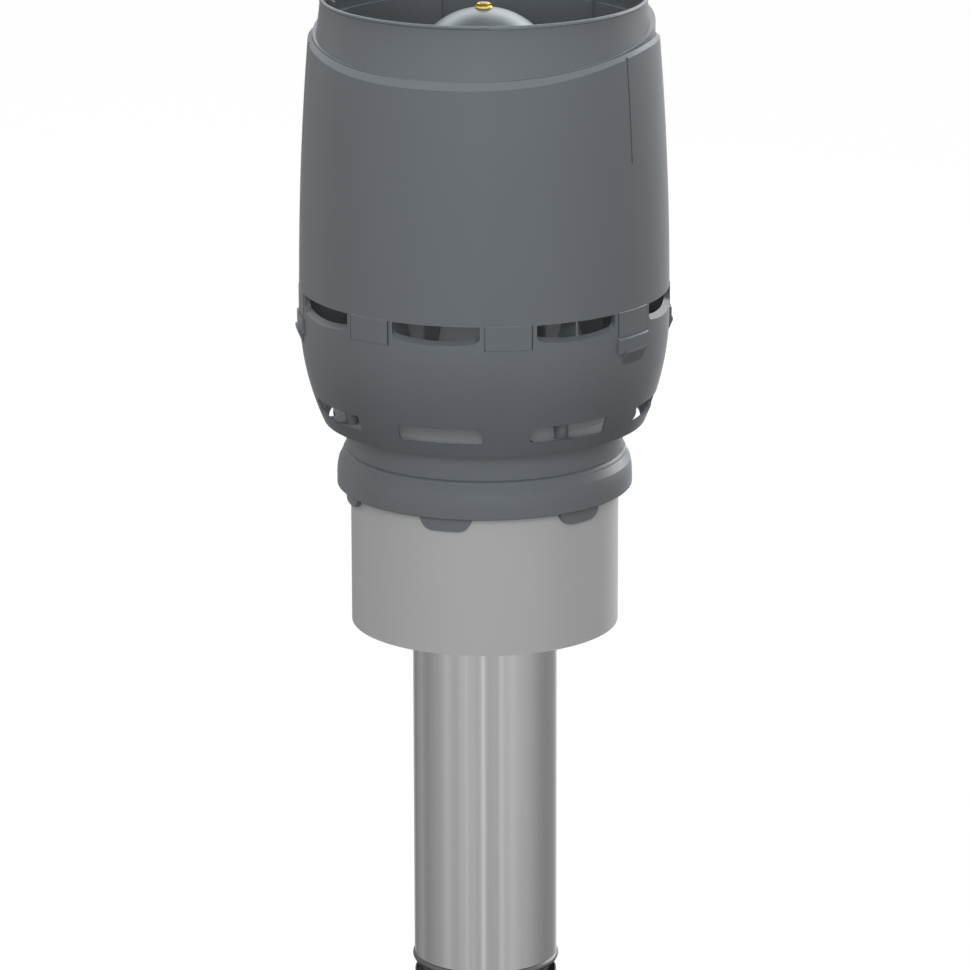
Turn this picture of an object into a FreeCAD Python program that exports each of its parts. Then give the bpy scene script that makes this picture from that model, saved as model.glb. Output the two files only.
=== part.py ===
import FreeCAD, Part
import math
import os

from FreeCAD import Vector

# Roof ventilation pipe: an insulated pipe with a steel duct inside it and an upright-blowing hood on top.
# Millimetres, +Z up. The origin is the centre of the lower end of the duct's coupling.
# A profile point is (radius, height). Angles are seen from above, counter-clockwise from +X.

# Allowances that many pieces share
slide_fit = 0.3
thread_fit = 0.05
overrun = 1.0
touching = 1e-6
edge_break = 0.8

# Steel duct
duct_radius = 61.1
duct_wall = 0.6
duct_bare_length = 298.8
duct_seam_angle = -104.7
duct_seam_width = 3.0
duct_seam_height = 0.3

# Coupling in the duct's lower end, with its two rubber seals
nipple_fit = 0.2
nipple_wall = 0.7
nipple_insertion = 40.0
spigot_length = 40.0
spigot_step = 5.8
bead_height = 7.0
bead_reach = 2.2
groove_depth = 1.0
groove_width = 14.0
groove_below_top = 8.0
lip_band_low = 3.0
lip_band_wall = 1.3
lip_pitch = 13.0
lip_rise = 13.2
lip_bow_rise = 6.0
lip_bow_reach = 3.8
lip_squeeze = 0.1
lip_wall = 1.1
lip_root = 2.6

# Plastic outer pipe and what closes it
pipe_radius = 112.5
pipe_wall = 3.0
pipe_shown_length = 119.7
pipe_hidden_length = 45.5
closing_disc = 2.5
closing_skirt_length = 9.0
closing_skirt_wall = 2.8
closing_recess = 2.0
duct_clearance = 0.5

# Collar ring round the pipe's upper end
collar_reach = 7.8
collar_side = 9.0
collar_side_bow = 0.4
collar_shoulder = 12.5
collar_shoulder_in = 1.6
collar_cove = 6.4
collar_lip = 10.2
collar_lip_wall = 2.5
collar_lip_round = 1.2
collar_floor = 5.5
collar_seal_height = 6.0
lug_count = 6
lug_turn = -106.5
lug_half_angle = 11.0
lug_drop = 12.5
lug_wall = 3.6
lug_corner = 12.0

# Base: neck, drip flange, inner cone and nozzle
neck_wall = 3.3
drip_reach = 10.9
drip_edge = 3.5
drip_underside_rise = 8.5
drip_top_rise = 3.0
base_wall = 2.8
base_ledge = 3.0
cone_foot_offset = 10.5
cone_foot_step = 2.0
cone_waist_swell = 22.0
cone_waist_rise = 50.0
cone_rise = 126.0
nozzle_wall = 3.5
nozzle_gap = 35.2
socket_depth = 46.0
socket_slope = 3.0
pipe_top_seal_width = 2.2
pipe_top_seal_height = 4.0
fin_count = 6
fin_turn = -60.0
fin_thickness = 2.0
base_fin_reach = 35.0
base_fin_low = 44.0
base_fin_height = 60.0
base_fin_taper = 32.0
base_fin_foot = 12.0
base_fin_foot_in = 8.0
arm_thickness = 4.0
arm_half_angle = 12.0

# Insulation
cone_insulation_gap = 2.0

# Bowl of the hood
rim_gap = 3.5
bowl_wall = 2.8
bowl_rim_lip = 1.6
bowl_rim_lip_height = 1.5
bowl_rim_slope = 2.5
bowl_rim_over_drip = 7.0
bowl_height = 96.9
bowl_belly_rise = 41.3
bowl_belly_swell = 13.7
bowl_flare = 19.3
hood_sides = 8
hood_turn = -105.2
sill_fall = 3.8
sill_wall = 4.8
sill_band = 12.0
window_height = 17.1
window_half_angle = 13.8
window_corner = 5.0
merlon_tongue = 9.5
drain_low = 11.6
drain_height = 14.0
drain_half_angle = 14.6
drain_corner = 3.0
vane_thickness = 2.2
vane_drop = 39.9
vane_reach = 28.2
vane_foot_reach = 41.2
vane_heel_reach = 29.2
vane_heel_rise = 10.0
vane_foot_rise = 27.0
vane_foot_edge = 5.0
vane_bow = 0.62
vane_shoulder_rise = 6.0
vane_clearance = 1.5
post_offset = 8.9
post_foot_radius = 5.5
post_head_radius = 7.5
post_height = 30.0
post_web = 3.0
post_web_rise = 16.0
post_web_top = 22.0
post_web_notch = 14.0
post_web_ledge = 4.0
catch_half_angle = 7.5
catch_drop = 4.3
catch_height = 23.3
catch_step = 12.6
catch_pad_reach = 2.0
catch_pad_overlap = 2.0
catch_wedge_reach = 3.6
catch_wedge_flat = 2.0
catch_wedge_offset = 2.6
catch_sides = (67.5, 112.5, 247.5, 292.5)

# Shell of the hood
shell_wall = 2.5
shell_height = 200.3
shell_belly_rise = 101.5
shell_belly_taper = 2.5
shell_taper = 8.6
tab_half_angle = 7.0
tab_wall = 2.5
tab_overlap = 3.0
tab_proud = 0.5
tab_clearance = 0.25
tab_side_gap = 1.2
tab_root = 2.0
tab_edge = 0.4
shoulder_width = 4.2
shoulder_drop = 7.4
shoulder_rise = 16.3
shoulder_bore_drop = 2.1
shoulder_bore_rise = 14.0
shoulder_rib_drop = 27.8
shoulder_points = 32
slit_width = 1.8
slit_depth = 1.2
slit_length = 84.7
slit_notch_width = 3.2
slit_notch_height = 3.0
slit_shift_angle = 0.6

# Ring that stands out of the shell
ring_stand = 42.4
ring_wall = 2.4
ring_waist_drop = 22.0
ring_waist_taper = 4.2
ring_foot_drop = 48.0
ring_taper = 6.4
ring_lip_drop = 44.5
ring_lip_tilt = 7.9
rim_lip = 0.6
rim_lip_height = 3.2
ring_flange = 3.9
ring_flange_thickness = 3.0
inner_tube_offset = 3.7
inner_tube_wall = 2.2
inner_tube_drop = 24.0
inner_tube_step = 2.0
ring_fin_depth = 3.5
ring_fin_turn = -75.0
ring_fin_drop = 8.0
ring_fin_length = 50.0
ring_fin_slope = 4.0
ring_fin_thickness = 1.8

# Dome and its carrier
dome_radius = 63.0
dome_drop = 10.5
dome_wall = 2.0
dome_skirt = 10.0
dome_lip = 1.5
dome_lip_height = 2.5
dome_lip_slope = 1.0
dome_seat_radius = 7.6
dome_boss_radius = 9.0
dome_boss_depth = 7.0
stud_radius = 3.0
stud_hole_clearance = 0.1
stud_end = 0.3
stud_chamfer = 0.6
stud_tail = 3.0
nut_flange_radius = 7.2
nut_flange_thickness = 1.2
nut_across_flats = 11.0
nut_height = 3.7
nut_crown = 1.0
nut_crown_width = 1.77
dome_washer_radius = 6.9
dome_washer_thickness = 0.8
small_nut_across_flats = 10.0
small_nut_height = 5.0
carrier_depth = 20.0
carrier_ring_wall = 2.8
carrier_flange = 2.5
carrier_arm_count = 3
carrier_arm_width = 3.0
carrier_arm_height = 14.0
carrier_arm_slope = 3.0
carrier_hub_radius = 9.0
carrier_pad_rim = 1.0
carrier_pad_depth = 5.0
carrier_turn = 30.0

# Small screws
screw_radius = 2.0
screw_hole_clearance = 0.2
screw_head_radius = 4.0
screw_head_height = 2.5
screw_head_clearance = 0.5
hood_screw_reach = 14.0
hood_screw_pilot = 2.0
carrier_screw_radius = 1.6
carrier_screw_head_radius = 3.0
carrier_screw_head_height = 2.0

# Radii that follow from the sizes above
duct_bore = duct_radius - duct_wall
nipple_radius = duct_bore - nipple_fit
spigot_radius = nipple_radius - spigot_step
groove_radius = nipple_radius - groove_depth
pipe_bore = pipe_radius - pipe_wall
neck_bore = pipe_radius + slide_fit
neck_radius = neck_bore + neck_wall
collar_radius = neck_radius + collar_reach
drip_radius = neck_radius + drip_reach
cone_foot_radius = drip_radius - cone_foot_offset
nozzle_radius = duct_bore + nozzle_wall
cone_waist_radius = nozzle_radius + cone_waist_swell
base_fin_radius = nozzle_radius + base_fin_reach
bowl_rim_radius = drip_radius + rim_gap + bowl_rim_lip + bowl_wall
bowl_belly_radius = bowl_rim_radius + bowl_belly_swell
bowl_top_radius = bowl_rim_radius + bowl_flare
window_bore = bowl_top_radius - sill_wall
post_circle = bowl_rim_radius - post_offset
shell_belly_radius = bowl_top_radius - shell_belly_taper
shell_top_radius = bowl_top_radius - shell_taper
shoulder_bore = shell_top_radius - shoulder_width
ring_foot_radius = shoulder_bore - slide_fit
ring_waist_radius = ring_foot_radius - ring_waist_taper
ring_rim_radius = ring_foot_radius - ring_taper
inner_tube_radius = ring_rim_radius - inner_tube_offset
dome_bore = dome_radius - dome_wall
stud_hole = stud_radius + stud_hole_clearance
stud_thread = stud_radius + thread_fit

# Heights that follow from the sizes above
bead_top = spigot_length + bead_height
nipple_top = bead_top + nipple_insertion
groove_top = nipple_top - groove_below_top
groove_low = groove_top - groove_width
pipe_bottom = bead_top + duct_bare_length
collar_bottom = pipe_bottom + pipe_shown_length
pipe_top = collar_bottom + pipe_hidden_length
closing_top = pipe_top + closing_disc
seal_low = collar_bottom + collar_floor
neck_bottom = seal_low + collar_seal_height
neck_top = closing_top + base_ledge + overrun
drip_low = neck_top + drip_underside_rise
drip_high = drip_low + drip_edge
cone_foot = drip_high + drip_top_rise
cone_top = cone_foot + cone_rise
duct_top = cone_top - base_wall
arm_top = cone_foot
arm_bottom = arm_top - arm_thickness
bowl_bottom = drip_high - bowl_rim_over_drip
bowl_top = bowl_bottom + bowl_height
band_bottom = bowl_top - sill_band
shell_bottom = bowl_top + window_height
tongue_top = shell_bottom + merlon_tongue
shell_top = shell_bottom + shell_height
rib_bottom = shell_top - shoulder_rib_drop
ring_top = shell_top + ring_stand
ring_crown = ring_top - rim_lip_height
dome_top = ring_top - dome_drop
dome_centre = dome_top - dome_radius
dome_seat = dome_centre + math.sqrt(dome_radius**2 - dome_seat_radius**2)
dome_boss_bottom = dome_seat - dome_boss_depth
skirt_bottom = dome_centre - dome_skirt
nozzle_top = skirt_bottom - nozzle_gap
hub_top = nozzle_top + carrier_flange
hub_bottom = hub_top - carrier_arm_height
carrier_screw_level = nozzle_top - carrier_depth / 2

window_pitch = 360.0 / hood_sides


def at(radius, height):
    return Vector(radius, 0, height)


class Bend:
    """A circular stretch of a turned wall, known by three points of its outer face."""

    def __init__(self, low, middle, high):
        circle = Part.Arc(at(*low), at(*middle), at(*high)).toShape().Curve
        self.centre_radius = circle.Center.x
        self.centre_height = circle.Center.z
        self.reach = circle.Radius
        self.side = 1 if circle.Center.x < middle[0] else -1

    def radius(self, height, inset=0.0):
        reach = self.reach - self.side * inset
        return self.centre_radius + self.side * math.sqrt(reach**2 - (height - self.centre_height) ** 2)

    def point(self, height, inset=0.0):
        return self.radius(height, inset), height

    def span(self, start, end, inset=0.0):
        """The stretch between two heights, for turned()."""
        return [self.point(start, inset), self.point((start + end) / 2, inset), self.point(end, inset)]


def outline(pieces):
    """A closed wire through points. A list of three points in it is an arc."""
    edges = []
    pen = None
    first = None
    for piece in pieces:
        points = [at(*p) for p in piece] if isinstance(piece, list) else [at(*piece)]
        if pen is not None and pen.distanceToPoint(points[0]) > touching:
            edges.append(Part.LineSegment(pen, points[0]).toShape())
        if len(points) == 3:
            edges.append(Part.Arc(*points).toShape())
        first = first or points[0]
        pen = points[-1]
    edges.append(Part.LineSegment(pen, first).toShape())
    return Part.Wire(edges)


def backwards(pieces):
    return [piece[::-1] if isinstance(piece, list) else piece for piece in reversed(pieces)]


def turned(*pieces, sweep=360.0, middle=0.0):
    """A solid turned about the vertical axis, or a sector of it round the angle middle."""
    solid = Part.Face(outline(pieces)).revolve(Vector(), Vector(0, 0, 1), sweep)
    return spun(solid, middle - sweep / 2) if sweep < 360 else solid


def ring(inner, outer, low, high):
    return turned((inner, low), (outer, low), (outer, high), (inner, high))


def sector(inner, outer, low, high, half_angle, middle=0.0):
    box = [(inner, low), (outer, low), (outer, high), (inner, high)]
    return turned(*box, sweep=2 * half_angle, middle=middle)


def plate(pieces, thickness, angle):
    """A flat rib that lies in a radial plane."""
    face = Part.Face(outline(pieces))
    face.translate(Vector(0, -thickness / 2, 0))
    return spun(face.extrude(Vector(0, thickness, 0)), angle)


def spun(shape, angle):
    copy = shape.copy()
    copy.rotate(Vector(), Vector(0, 0, 1), angle)
    return copy


def pattern(shape, count, turn):
    return [spun(shape, turn + k * 360.0 / count) for k in range(count)]


def post(radius, low, high, x, top_radius=None):
    """An upright round bar, tapered if its top radius is given."""
    foot = Vector(x, 0, low)
    if top_radius is None:
        return Part.makeCylinder(radius, high - low, foot)
    return Part.makeCone(radius, top_radius, high - low, foot)


def spoke(radius, start, end, level):
    """A round bar that lies along +X."""
    return Part.makeCylinder(radius, end - start, Vector(start, 0, level), Vector(1, 0, 0))


def hex_corner(across_flats):
    """A hexagon's radius to its corners."""
    return across_flats / 2 / math.cos(math.radians(30))


def hexagon(across_flats, low, high):
    corner = hex_corner(across_flats)
    points = [Vector(corner, 0, low)]
    for k in range(1, 7):
        turn = math.radians(60 * k)
        points.append(Vector(corner * math.cos(turn), corner * math.sin(turn), low))
    return Part.Face(Part.makePolygon(points)).extrude(Vector(0, 0, high - low))


def window(half_width, low, high, inner, outer, corner, fall=0.0):
    """A cutter with rounded lower corners that runs outwards along +X, and falls on its way."""
    bow = 1 - math.sqrt(0.5)
    y = half_width
    steps = [
        [(y, low + corner), (y - corner * bow, low + corner * bow), (y - corner, low)],
        [(corner - y, low), (corner * bow - y, low + corner * bow), (-y, low + corner)],
        (-y, high),
        (y, high),
    ]
    face = Part.Face(outline(steps))
    face.rotate(Vector(), Vector(0, 0, 1), 90)
    face.translate(Vector(inner, 0, 0))
    return face.extrude(Vector(outer - inner, 0, -fall))


def joined(base, *groups):
    tools = [tool for group in groups for tool in group]
    return base.fuse(tools).removeSplitter()


def bored(base, *groups):
    return base.cut([tool for group in groups for tool in group])


def chord(radius, half_angle):
    return radius * math.sin(math.radians(half_angle))


# Walls that several pieces follow
bowl_face = Bend(
    (bowl_rim_radius, bowl_bottom),
    (bowl_belly_radius, bowl_bottom + bowl_belly_rise),
    (bowl_top_radius, bowl_top),
)
shell_face = Bend(
    (bowl_top_radius, shell_bottom),
    (shell_belly_radius, shell_bottom + shell_belly_rise),
    (shell_top_radius, shell_top),
)
cone_face = Bend(
    (cone_foot_radius, cone_foot),
    (cone_waist_radius, cone_foot + cone_waist_rise),
    (nozzle_radius, cone_top),
)
ring_face = Bend(
    (ring_foot_radius, ring_top - ring_foot_drop),
    (ring_waist_radius, ring_top - ring_waist_drop),
    (ring_rim_radius, ring_crown),
)
post_angles = [hood_turn + side for side in (45, 135, 225, 315)]


def nipple_skin(inset):
    """The coupling's outer face from its lower end up, or a face that lies inset mm behind it."""
    skin = nipple_radius - inset
    underside = spigot_length + inset
    crown = nipple_radius + bead_reach - inset
    return [
        (spigot_radius - inset, 0),
        (spigot_radius - inset, underside),
        (skin, underside),
        [(skin, underside), (crown, spigot_length + bead_height / 2), (skin, bead_top)],
        (skin, groove_low),
        (groove_radius - inset, groove_low + groove_depth),
        (groove_radius - inset, groove_top - groove_depth),
        (skin, groove_top),
        (skin, nipple_top),
    ]


def duct_nipple():
    """A rolled coupling: spigot, stop bead, and the end with a seal groove that the duct goes over."""
    return turned(*nipple_skin(0.0), *backwards(nipple_skin(nipple_wall)))


def nipple_upper_seal():
    return ring(groove_radius, duct_bore, groove_low + groove_depth, groove_top - groove_depth)


def nipple_lower_seal():
    """A rubber band with two cupped lips that trail towards the bead."""
    band = spigot_radius + lip_band_wall
    edge = duct_bore + lip_squeeze
    profile = [(spigot_radius, lip_band_low), (band, lip_band_low)]
    for root in (lip_band_low, lip_band_low + lip_pitch):
        lip = Bend((band, root), (band + lip_bow_reach, root + lip_bow_rise), (edge, root + lip_rise))
        profile.append(lip.span(root, root + lip_rise))
        profile.append(lip.span(root + lip_rise, root + lip_root, lip_wall))
        profile.append((band, root + lip_root))
    top = lip_band_low + lip_pitch + lip_root + edge_break
    return turned(*profile, (band, top), (spigot_radius, top))


def inner_pipe():
    tube = ring(duct_bore, duct_radius, bead_top, duct_top)
    half = math.degrees(duct_seam_width / 2 / duct_radius)
    middle_of_wall = duct_radius - duct_wall / 2
    outside = duct_radius + duct_seam_height
    seam = sector(middle_of_wall, outside, bead_top, pipe_top, half, duct_seam_angle)
    return joined(tube, [seam])


def outer_pipe():
    return ring(pipe_bore, pipe_radius, pipe_bottom, pipe_top)


def lower_closing_ring():
    bore = duct_radius + duct_clearance
    low = pipe_bottom + closing_recess
    skirt_top = low + closing_disc + closing_skirt_length
    return turned(
        (bore, low),
        (pipe_bore, low),
        (pipe_bore, skirt_top),
        (pipe_bore - closing_skirt_wall, skirt_top),
        (pipe_bore - closing_skirt_wall, low + closing_disc),
        (bore, low + closing_disc),
    )


def upper_closing_ring():
    bore = duct_radius + duct_clearance
    skirt_bottom_height = pipe_top - closing_skirt_length
    return turned(
        (bore, pipe_top),
        (pipe_bore - closing_skirt_wall, pipe_top),
        (pipe_bore - closing_skirt_wall, skirt_bottom_height),
        (pipe_bore, skirt_bottom_height),
        (pipe_bore, pipe_top),
        (pipe_radius, pipe_top),
        (pipe_radius, closing_top),
        (bore, closing_top),
    )


def insulation_sleeve():
    low = pipe_bottom + closing_recess + closing_disc + closing_skirt_length
    high = pipe_top - closing_skirt_length
    return ring(duct_radius + duct_clearance, pipe_bore - slide_fit, low, high)


def cone_insulation():
    bore = duct_radius + duct_clearance
    top = cone_foot + cone_waist_rise
    gap = base_wall + slide_fit
    foot = cone_foot + cone_foot_step
    return turned(
        (bore, closing_top),
        (neck_bore - base_ledge - cone_insulation_gap, closing_top),
        (cone_face.radius(foot, gap) - overrun, foot),
        cone_face.point(foot + overrun, gap),
        cone_face.point((foot + top) / 2, gap + cone_insulation_gap),
        cone_face.point(top, gap),
        (bore, top),
    )


def collar_ring():
    """A ring with a rounded shoulder and a thin lip round the neck, and lugs that hang on the pipe."""
    side_top = collar_bottom + collar_side
    shoulder_radius = collar_radius - collar_shoulder_in
    shoulder_top = side_top + collar_shoulder
    neck_pocket = neck_radius + slide_fit
    lip_radius = neck_pocket + collar_lip_wall
    lip_top = shoulder_top + collar_lip
    bore = pipe_radius + slide_fit
    shoulder = [
        (collar_radius, side_top),
        (collar_radius - collar_side_bow, (side_top + shoulder_top) / 2),
        (shoulder_radius, shoulder_top),
    ]
    lip = [
        (lip_radius, shoulder_top + collar_cove),
        (lip_radius - edge_break, lip_top - collar_lip_round),
        (neck_pocket, lip_top),
    ]
    body = turned(
        (bore, collar_bottom),
        (collar_radius - edge_break, collar_bottom),
        (collar_radius, collar_bottom + edge_break),
        shoulder,
        lip,
        (neck_radius, lip_top),
        (neck_pocket, shoulder_top),
        (neck_pocket, seal_low),
        (bore, seal_low),
    )
    lug_outer = bore + lug_wall
    lug_low = collar_bottom - lug_drop
    lug = sector(bore, lug_outer, lug_low, collar_bottom + overrun, lug_half_angle)
    half = chord(lug_outer, lug_half_angle)
    corners = window(half, lug_low, collar_bottom + 2 * overrun, bore / 2, lug_outer + overrun, lug_corner)
    return joined(body, pattern(lug.common(corners), lug_count, lug_turn))


def collar_seal():
    return ring(pipe_radius, neck_radius, seal_low, neck_bottom)


def base_core():
    """The hollow under the cone and inside the nozzle, as a solid."""
    ledge_bore = neck_bore - base_ledge
    foot = cone_foot + cone_foot_step
    socket_bottom = duct_top - socket_depth
    socket_bore = duct_radius + slide_fit
    socket_wall = cone_face.radius(socket_bottom, base_wall)
    return turned(
        (0, neck_bottom - overrun),
        (neck_bore, neck_bottom - overrun),
        (neck_bore, closing_top),
        (ledge_bore, closing_top),
        (ledge_bore, neck_top + base_ledge),
        cone_face.span(foot, socket_bottom, base_wall),
        (max(socket_wall - socket_slope, socket_bore), socket_bottom),
        (socket_bore, socket_bottom),
        (socket_bore, duct_top),
        (duct_bore, duct_top),
        (duct_bore, nozzle_top + overrun),
        (0, nozzle_top + overrun),
    )


def base_fin():
    """One of the upright fins on the cone: it widens at its foot and tapers to the nozzle."""
    low = cone_foot + base_fin_low
    top = low + base_fin_height
    tip = top + base_fin_taper
    root = nozzle_radius - nozzle_wall / 2
    profile = [
        (root, low - base_fin_foot),
        (base_fin_radius - base_fin_foot_in, low - base_fin_foot),
        (base_fin_radius, low),
        (base_fin_radius, top),
        (nozzle_radius + overrun, tip),
        (root, tip),
    ]
    return plate(profile, fin_thickness, 0)


def hood_base():
    """Neck, drip flange, cone and nozzle, with fins on the cone and arms for the bowl."""
    body = turned(
        (neck_radius, neck_bottom),
        (neck_radius, neck_top),
        (drip_radius, drip_low),
        (drip_radius, drip_high),
        (cone_foot_radius, cone_foot),
        cone_face.span(cone_foot, cone_top),
        (nozzle_radius, nozzle_top),
        (0, nozzle_top),
        (0, neck_bottom),
    )
    arm_end = bowl_face.radius(arm_bottom, bowl_wall + slide_fit)
    arms = []
    holes = []
    for angle in post_angles:
        arm = sector(cone_foot_radius - base_wall, arm_end, arm_bottom, arm_top, arm_half_angle, angle)
        hole = post(screw_radius + screw_hole_clearance, neck_bottom, arm_top + overrun, post_circle)
        recess = post(screw_head_radius + screw_head_clearance, neck_bottom, arm_bottom, post_circle)
        arms.append(arm)
        holes.append(spun(hole.fuse(recess), angle))
    screw = spoke(carrier_screw_radius + thread_fit, 0, nozzle_radius + overrun, carrier_screw_level)
    solid = joined(body, pattern(base_fin(), fin_count, fin_turn), arms)
    return bored(solid, [base_core()], holes, pattern(screw, carrier_arm_count, carrier_turn))


def bowl_cavity():
    """The space inside the bowl's wall, as a solid."""
    lip_bore = bowl_face.radius(bowl_bottom, bowl_wall) - bowl_rim_lip
    lip_top = bowl_bottom + bowl_rim_lip_height
    below = bowl_bottom - 2 * overrun
    return turned(
        (0, below),
        (lip_bore, below),
        (lip_bore, lip_top),
        bowl_face.span(lip_top + bowl_rim_slope, band_bottom - sill_wall, bowl_wall),
        (window_bore, band_bottom),
        (window_bore, tongue_top + overrun),
        (0, tongue_top + overrun),
    )


def bowl_inside():
    """The bowl's inside with half of its wall. It trims the ribs that grow out of the wall."""
    half = bowl_wall / 2
    reach = window_bore + half / 2
    return turned(
        (0, bowl_bottom),
        (bowl_face.radius(bowl_bottom + overrun, half), bowl_bottom),
        bowl_face.span(bowl_bottom + overrun, band_bottom, half),
        (reach, band_bottom),
        (reach, shell_bottom - edge_break),
        (0, shell_bottom - edge_break),
    )


def bowl_catch():
    """A pad with a narrower wedge under it."""
    top = bowl_top - catch_drop
    low = top - catch_height
    step = low + catch_step
    root = bowl_face.radius(low, bowl_wall / 2)
    pad = [
        (root, step - catch_pad_overlap),
        (bowl_face.radius(step, -catch_pad_reach), step - catch_pad_overlap),
        (bowl_face.radius(top, -catch_pad_reach), top - edge_break),
        (bowl_face.radius(top, -catch_pad_reach) - edge_break, top),
        (root, top),
    ]
    wedge = [
        (root, low),
        (bowl_face.radius(low), low),
        (bowl_face.radius(step, -catch_wedge_reach), step - catch_wedge_flat),
        (bowl_face.radius(step, -catch_wedge_reach), step),
        (root, step),
    ]
    return [
        turned(*pad, sweep=2 * catch_half_angle),
        turned(*wedge, sweep=2 * (catch_half_angle - catch_wedge_offset)),
    ]


def bowl_vane():
    """A guide vane that grows from the bowl's wall behind the windows."""
    low = bowl_top - vane_drop
    foot = low + vane_foot_rise
    shoulder = bowl_top + vane_shoulder_rise
    top = shell_bottom - vane_clearance
    inner = bowl_top_radius - vane_reach
    foot_radius = bowl_top_radius - vane_foot_reach
    bow_radius = foot_radius + (inner - foot_radius) * vane_bow
    profile = [
        (bowl_top_radius, low),
        (bowl_top_radius - vane_heel_reach, low + vane_heel_rise),
        (foot_radius, foot - vane_foot_edge),
        [(foot_radius, foot), (bow_radius, (foot + shoulder) / 2), (inner, shoulder)],
        (inner, top),
        (bowl_top_radius, top),
    ]
    return plate(profile, vane_thickness, 0)


def bowl_post():
    """A tapered screw post that stands on an arm of the base, with a web to the wall."""
    top = arm_top + post_height
    ledge = post_circle + post_head_radius + post_web_ledge
    web = [
        (post_circle, arm_top + post_web_rise),
        (bowl_top_radius, arm_top + post_web_rise),
        (bowl_top_radius, top + post_web_top),
        (ledge, top + post_web_notch),
        (post_circle, top),
    ]
    bar = post(post_foot_radius, arm_top, top, post_circle, post_head_radius)
    return bar.fuse(plate(web, post_web, 0))


def sill_window():
    """The cutter of one of the large windows. Its sill falls outwards."""
    slope = sill_fall / sill_wall
    inner = window_bore - sill_wall
    outer = bowl_top_radius + sill_wall
    low = bowl_top + slope * (bowl_top_radius - inner)
    half = chord(bowl_top_radius, window_half_angle)
    high = tongue_top + sill_band + low - bowl_top
    return window(half, low, high, inner, outer, window_corner, slope * (outer - inner))


def drain_window():
    low = bowl_bottom + drain_low
    half = chord(bowl_face.radius(low), drain_half_angle)
    return window(half, low, low + drain_height, post_circle, bowl_top_radius, drain_corner)


def hood_bowl():
    """The lower half of the hood, with windows, drain windows, catches, vanes and screw posts."""
    tongue_radius = bowl_top_radius - shell_wall - slide_fit
    body = turned(
        (0, bowl_bottom),
        bowl_face.span(bowl_bottom, bowl_top),
        (bowl_top_radius, shell_bottom),
        (tongue_radius, shell_bottom),
        (tongue_radius, tongue_top),
        (0, tongue_top),
    )
    pocket_radius = bowl_top_radius + tab_proud - tab_wall - tab_clearance
    pocket_half = tab_half_angle + math.degrees(tab_side_gap / bowl_top_radius)
    pocket_low = bowl_top - tab_overlap
    pocket = sector(pocket_radius, bowl_top_radius + overrun, pocket_low, shell_bottom + overrun, pocket_half)
    wall = bored(
        body,
        [bowl_cavity()],
        pattern(sill_window(), hood_sides, hood_turn),
        pattern(drain_window(), hood_sides, hood_turn),
        pattern(pocket, hood_sides, hood_turn + window_pitch / 2),
    )
    catches = [spun(piece, hood_turn + side) for side in catch_sides for piece in bowl_catch()]
    inside = bowl_inside()
    vane = bowl_vane().common(inside)
    stand = bowl_post().common(inside)
    posts = [spun(stand, angle) for angle in post_angles]
    pilot_top = arm_top + hood_screw_reach + hood_screw_pilot
    pilot = post(screw_radius + thread_fit, arm_top - overrun, pilot_top, post_circle)
    solid = joined(wall, catches, pattern(vane, fin_count, fin_turn), posts)
    return bored(solid, [spun(pilot, angle) for angle in post_angles])


def shoulder_wave(turn):
    """Nought in the hood's long direction and 1 across it, flat at the low points and steeper between."""
    return abs(math.sin(turn)) ** 3


def shoulder_edge(radius):
    """The wavy edge at one radius: two low points in the hood's long direction, two high ones across it."""
    share = (shell_top_radius - radius) / shoulder_width
    drop = shoulder_drop + share * (shoulder_bore_drop - shoulder_drop)
    rise = shoulder_rise + share * (shoulder_bore_rise - shoulder_rise)
    points = []
    for k in range(shoulder_points):
        turn = 2 * math.pi * k / shoulder_points
        height = shell_top - drop + rise * shoulder_wave(turn)
        points.append(Vector(radius * math.cos(turn), radius * math.sin(turn), height))
    curve = Part.BSplineCurve()
    curve.interpolate(points, PeriodicFlag=True)
    return curve.toShape()


def shoulder_cut():
    """What lies above the sloped, wavy shoulder face."""
    inner = shoulder_edge(shoulder_bore - 2 * overrun)
    outer = shoulder_edge(shell_top_radius + shoulder_width)
    face = Part.makeRuledSurface(inner, outer)
    return spun(face.extrude(Vector(0, 0, 2 * shoulder_rise)), hood_turn)


def shell_slit(side):
    """A narrow slit that runs down the shell from its shoulder, with a small notch at its top."""
    crest = shell_top - shoulder_drop + shoulder_rise * shoulder_wave(math.radians(side))
    low = crest - slit_length
    high = crest + 2 * shoulder_width
    outside = bowl_top_radius + overrun
    slit = plate(
        [shell_face.span(low, high, slit_depth), (outside, high), (outside, low)],
        slit_width,
        0,
    )
    notch_low = crest - slit_notch_height
    notch = plate(
        [shell_face.span(notch_low, high, slit_depth), (outside, high), (outside, notch_low)],
        slit_notch_width,
        0,
    )
    return spun(slit.fuse(notch), hood_turn + side + slit_shift_angle)


def shell_tab():
    """One of the tabs that close over the bowl's merlons."""
    outer = bowl_top_radius + tab_proud
    inner = outer - tab_wall
    low = bowl_top - tab_overlap
    profile = [
        (inner, low),
        (outer - tab_edge, low),
        (outer, low + tab_edge),
        (outer, shell_bottom),
        (bowl_top_radius - shell_wall / 2, shell_bottom + tab_root),
        (inner, shell_bottom + tab_root),
    ]
    return turned(*profile, sweep=2 * tab_half_angle)


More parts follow.
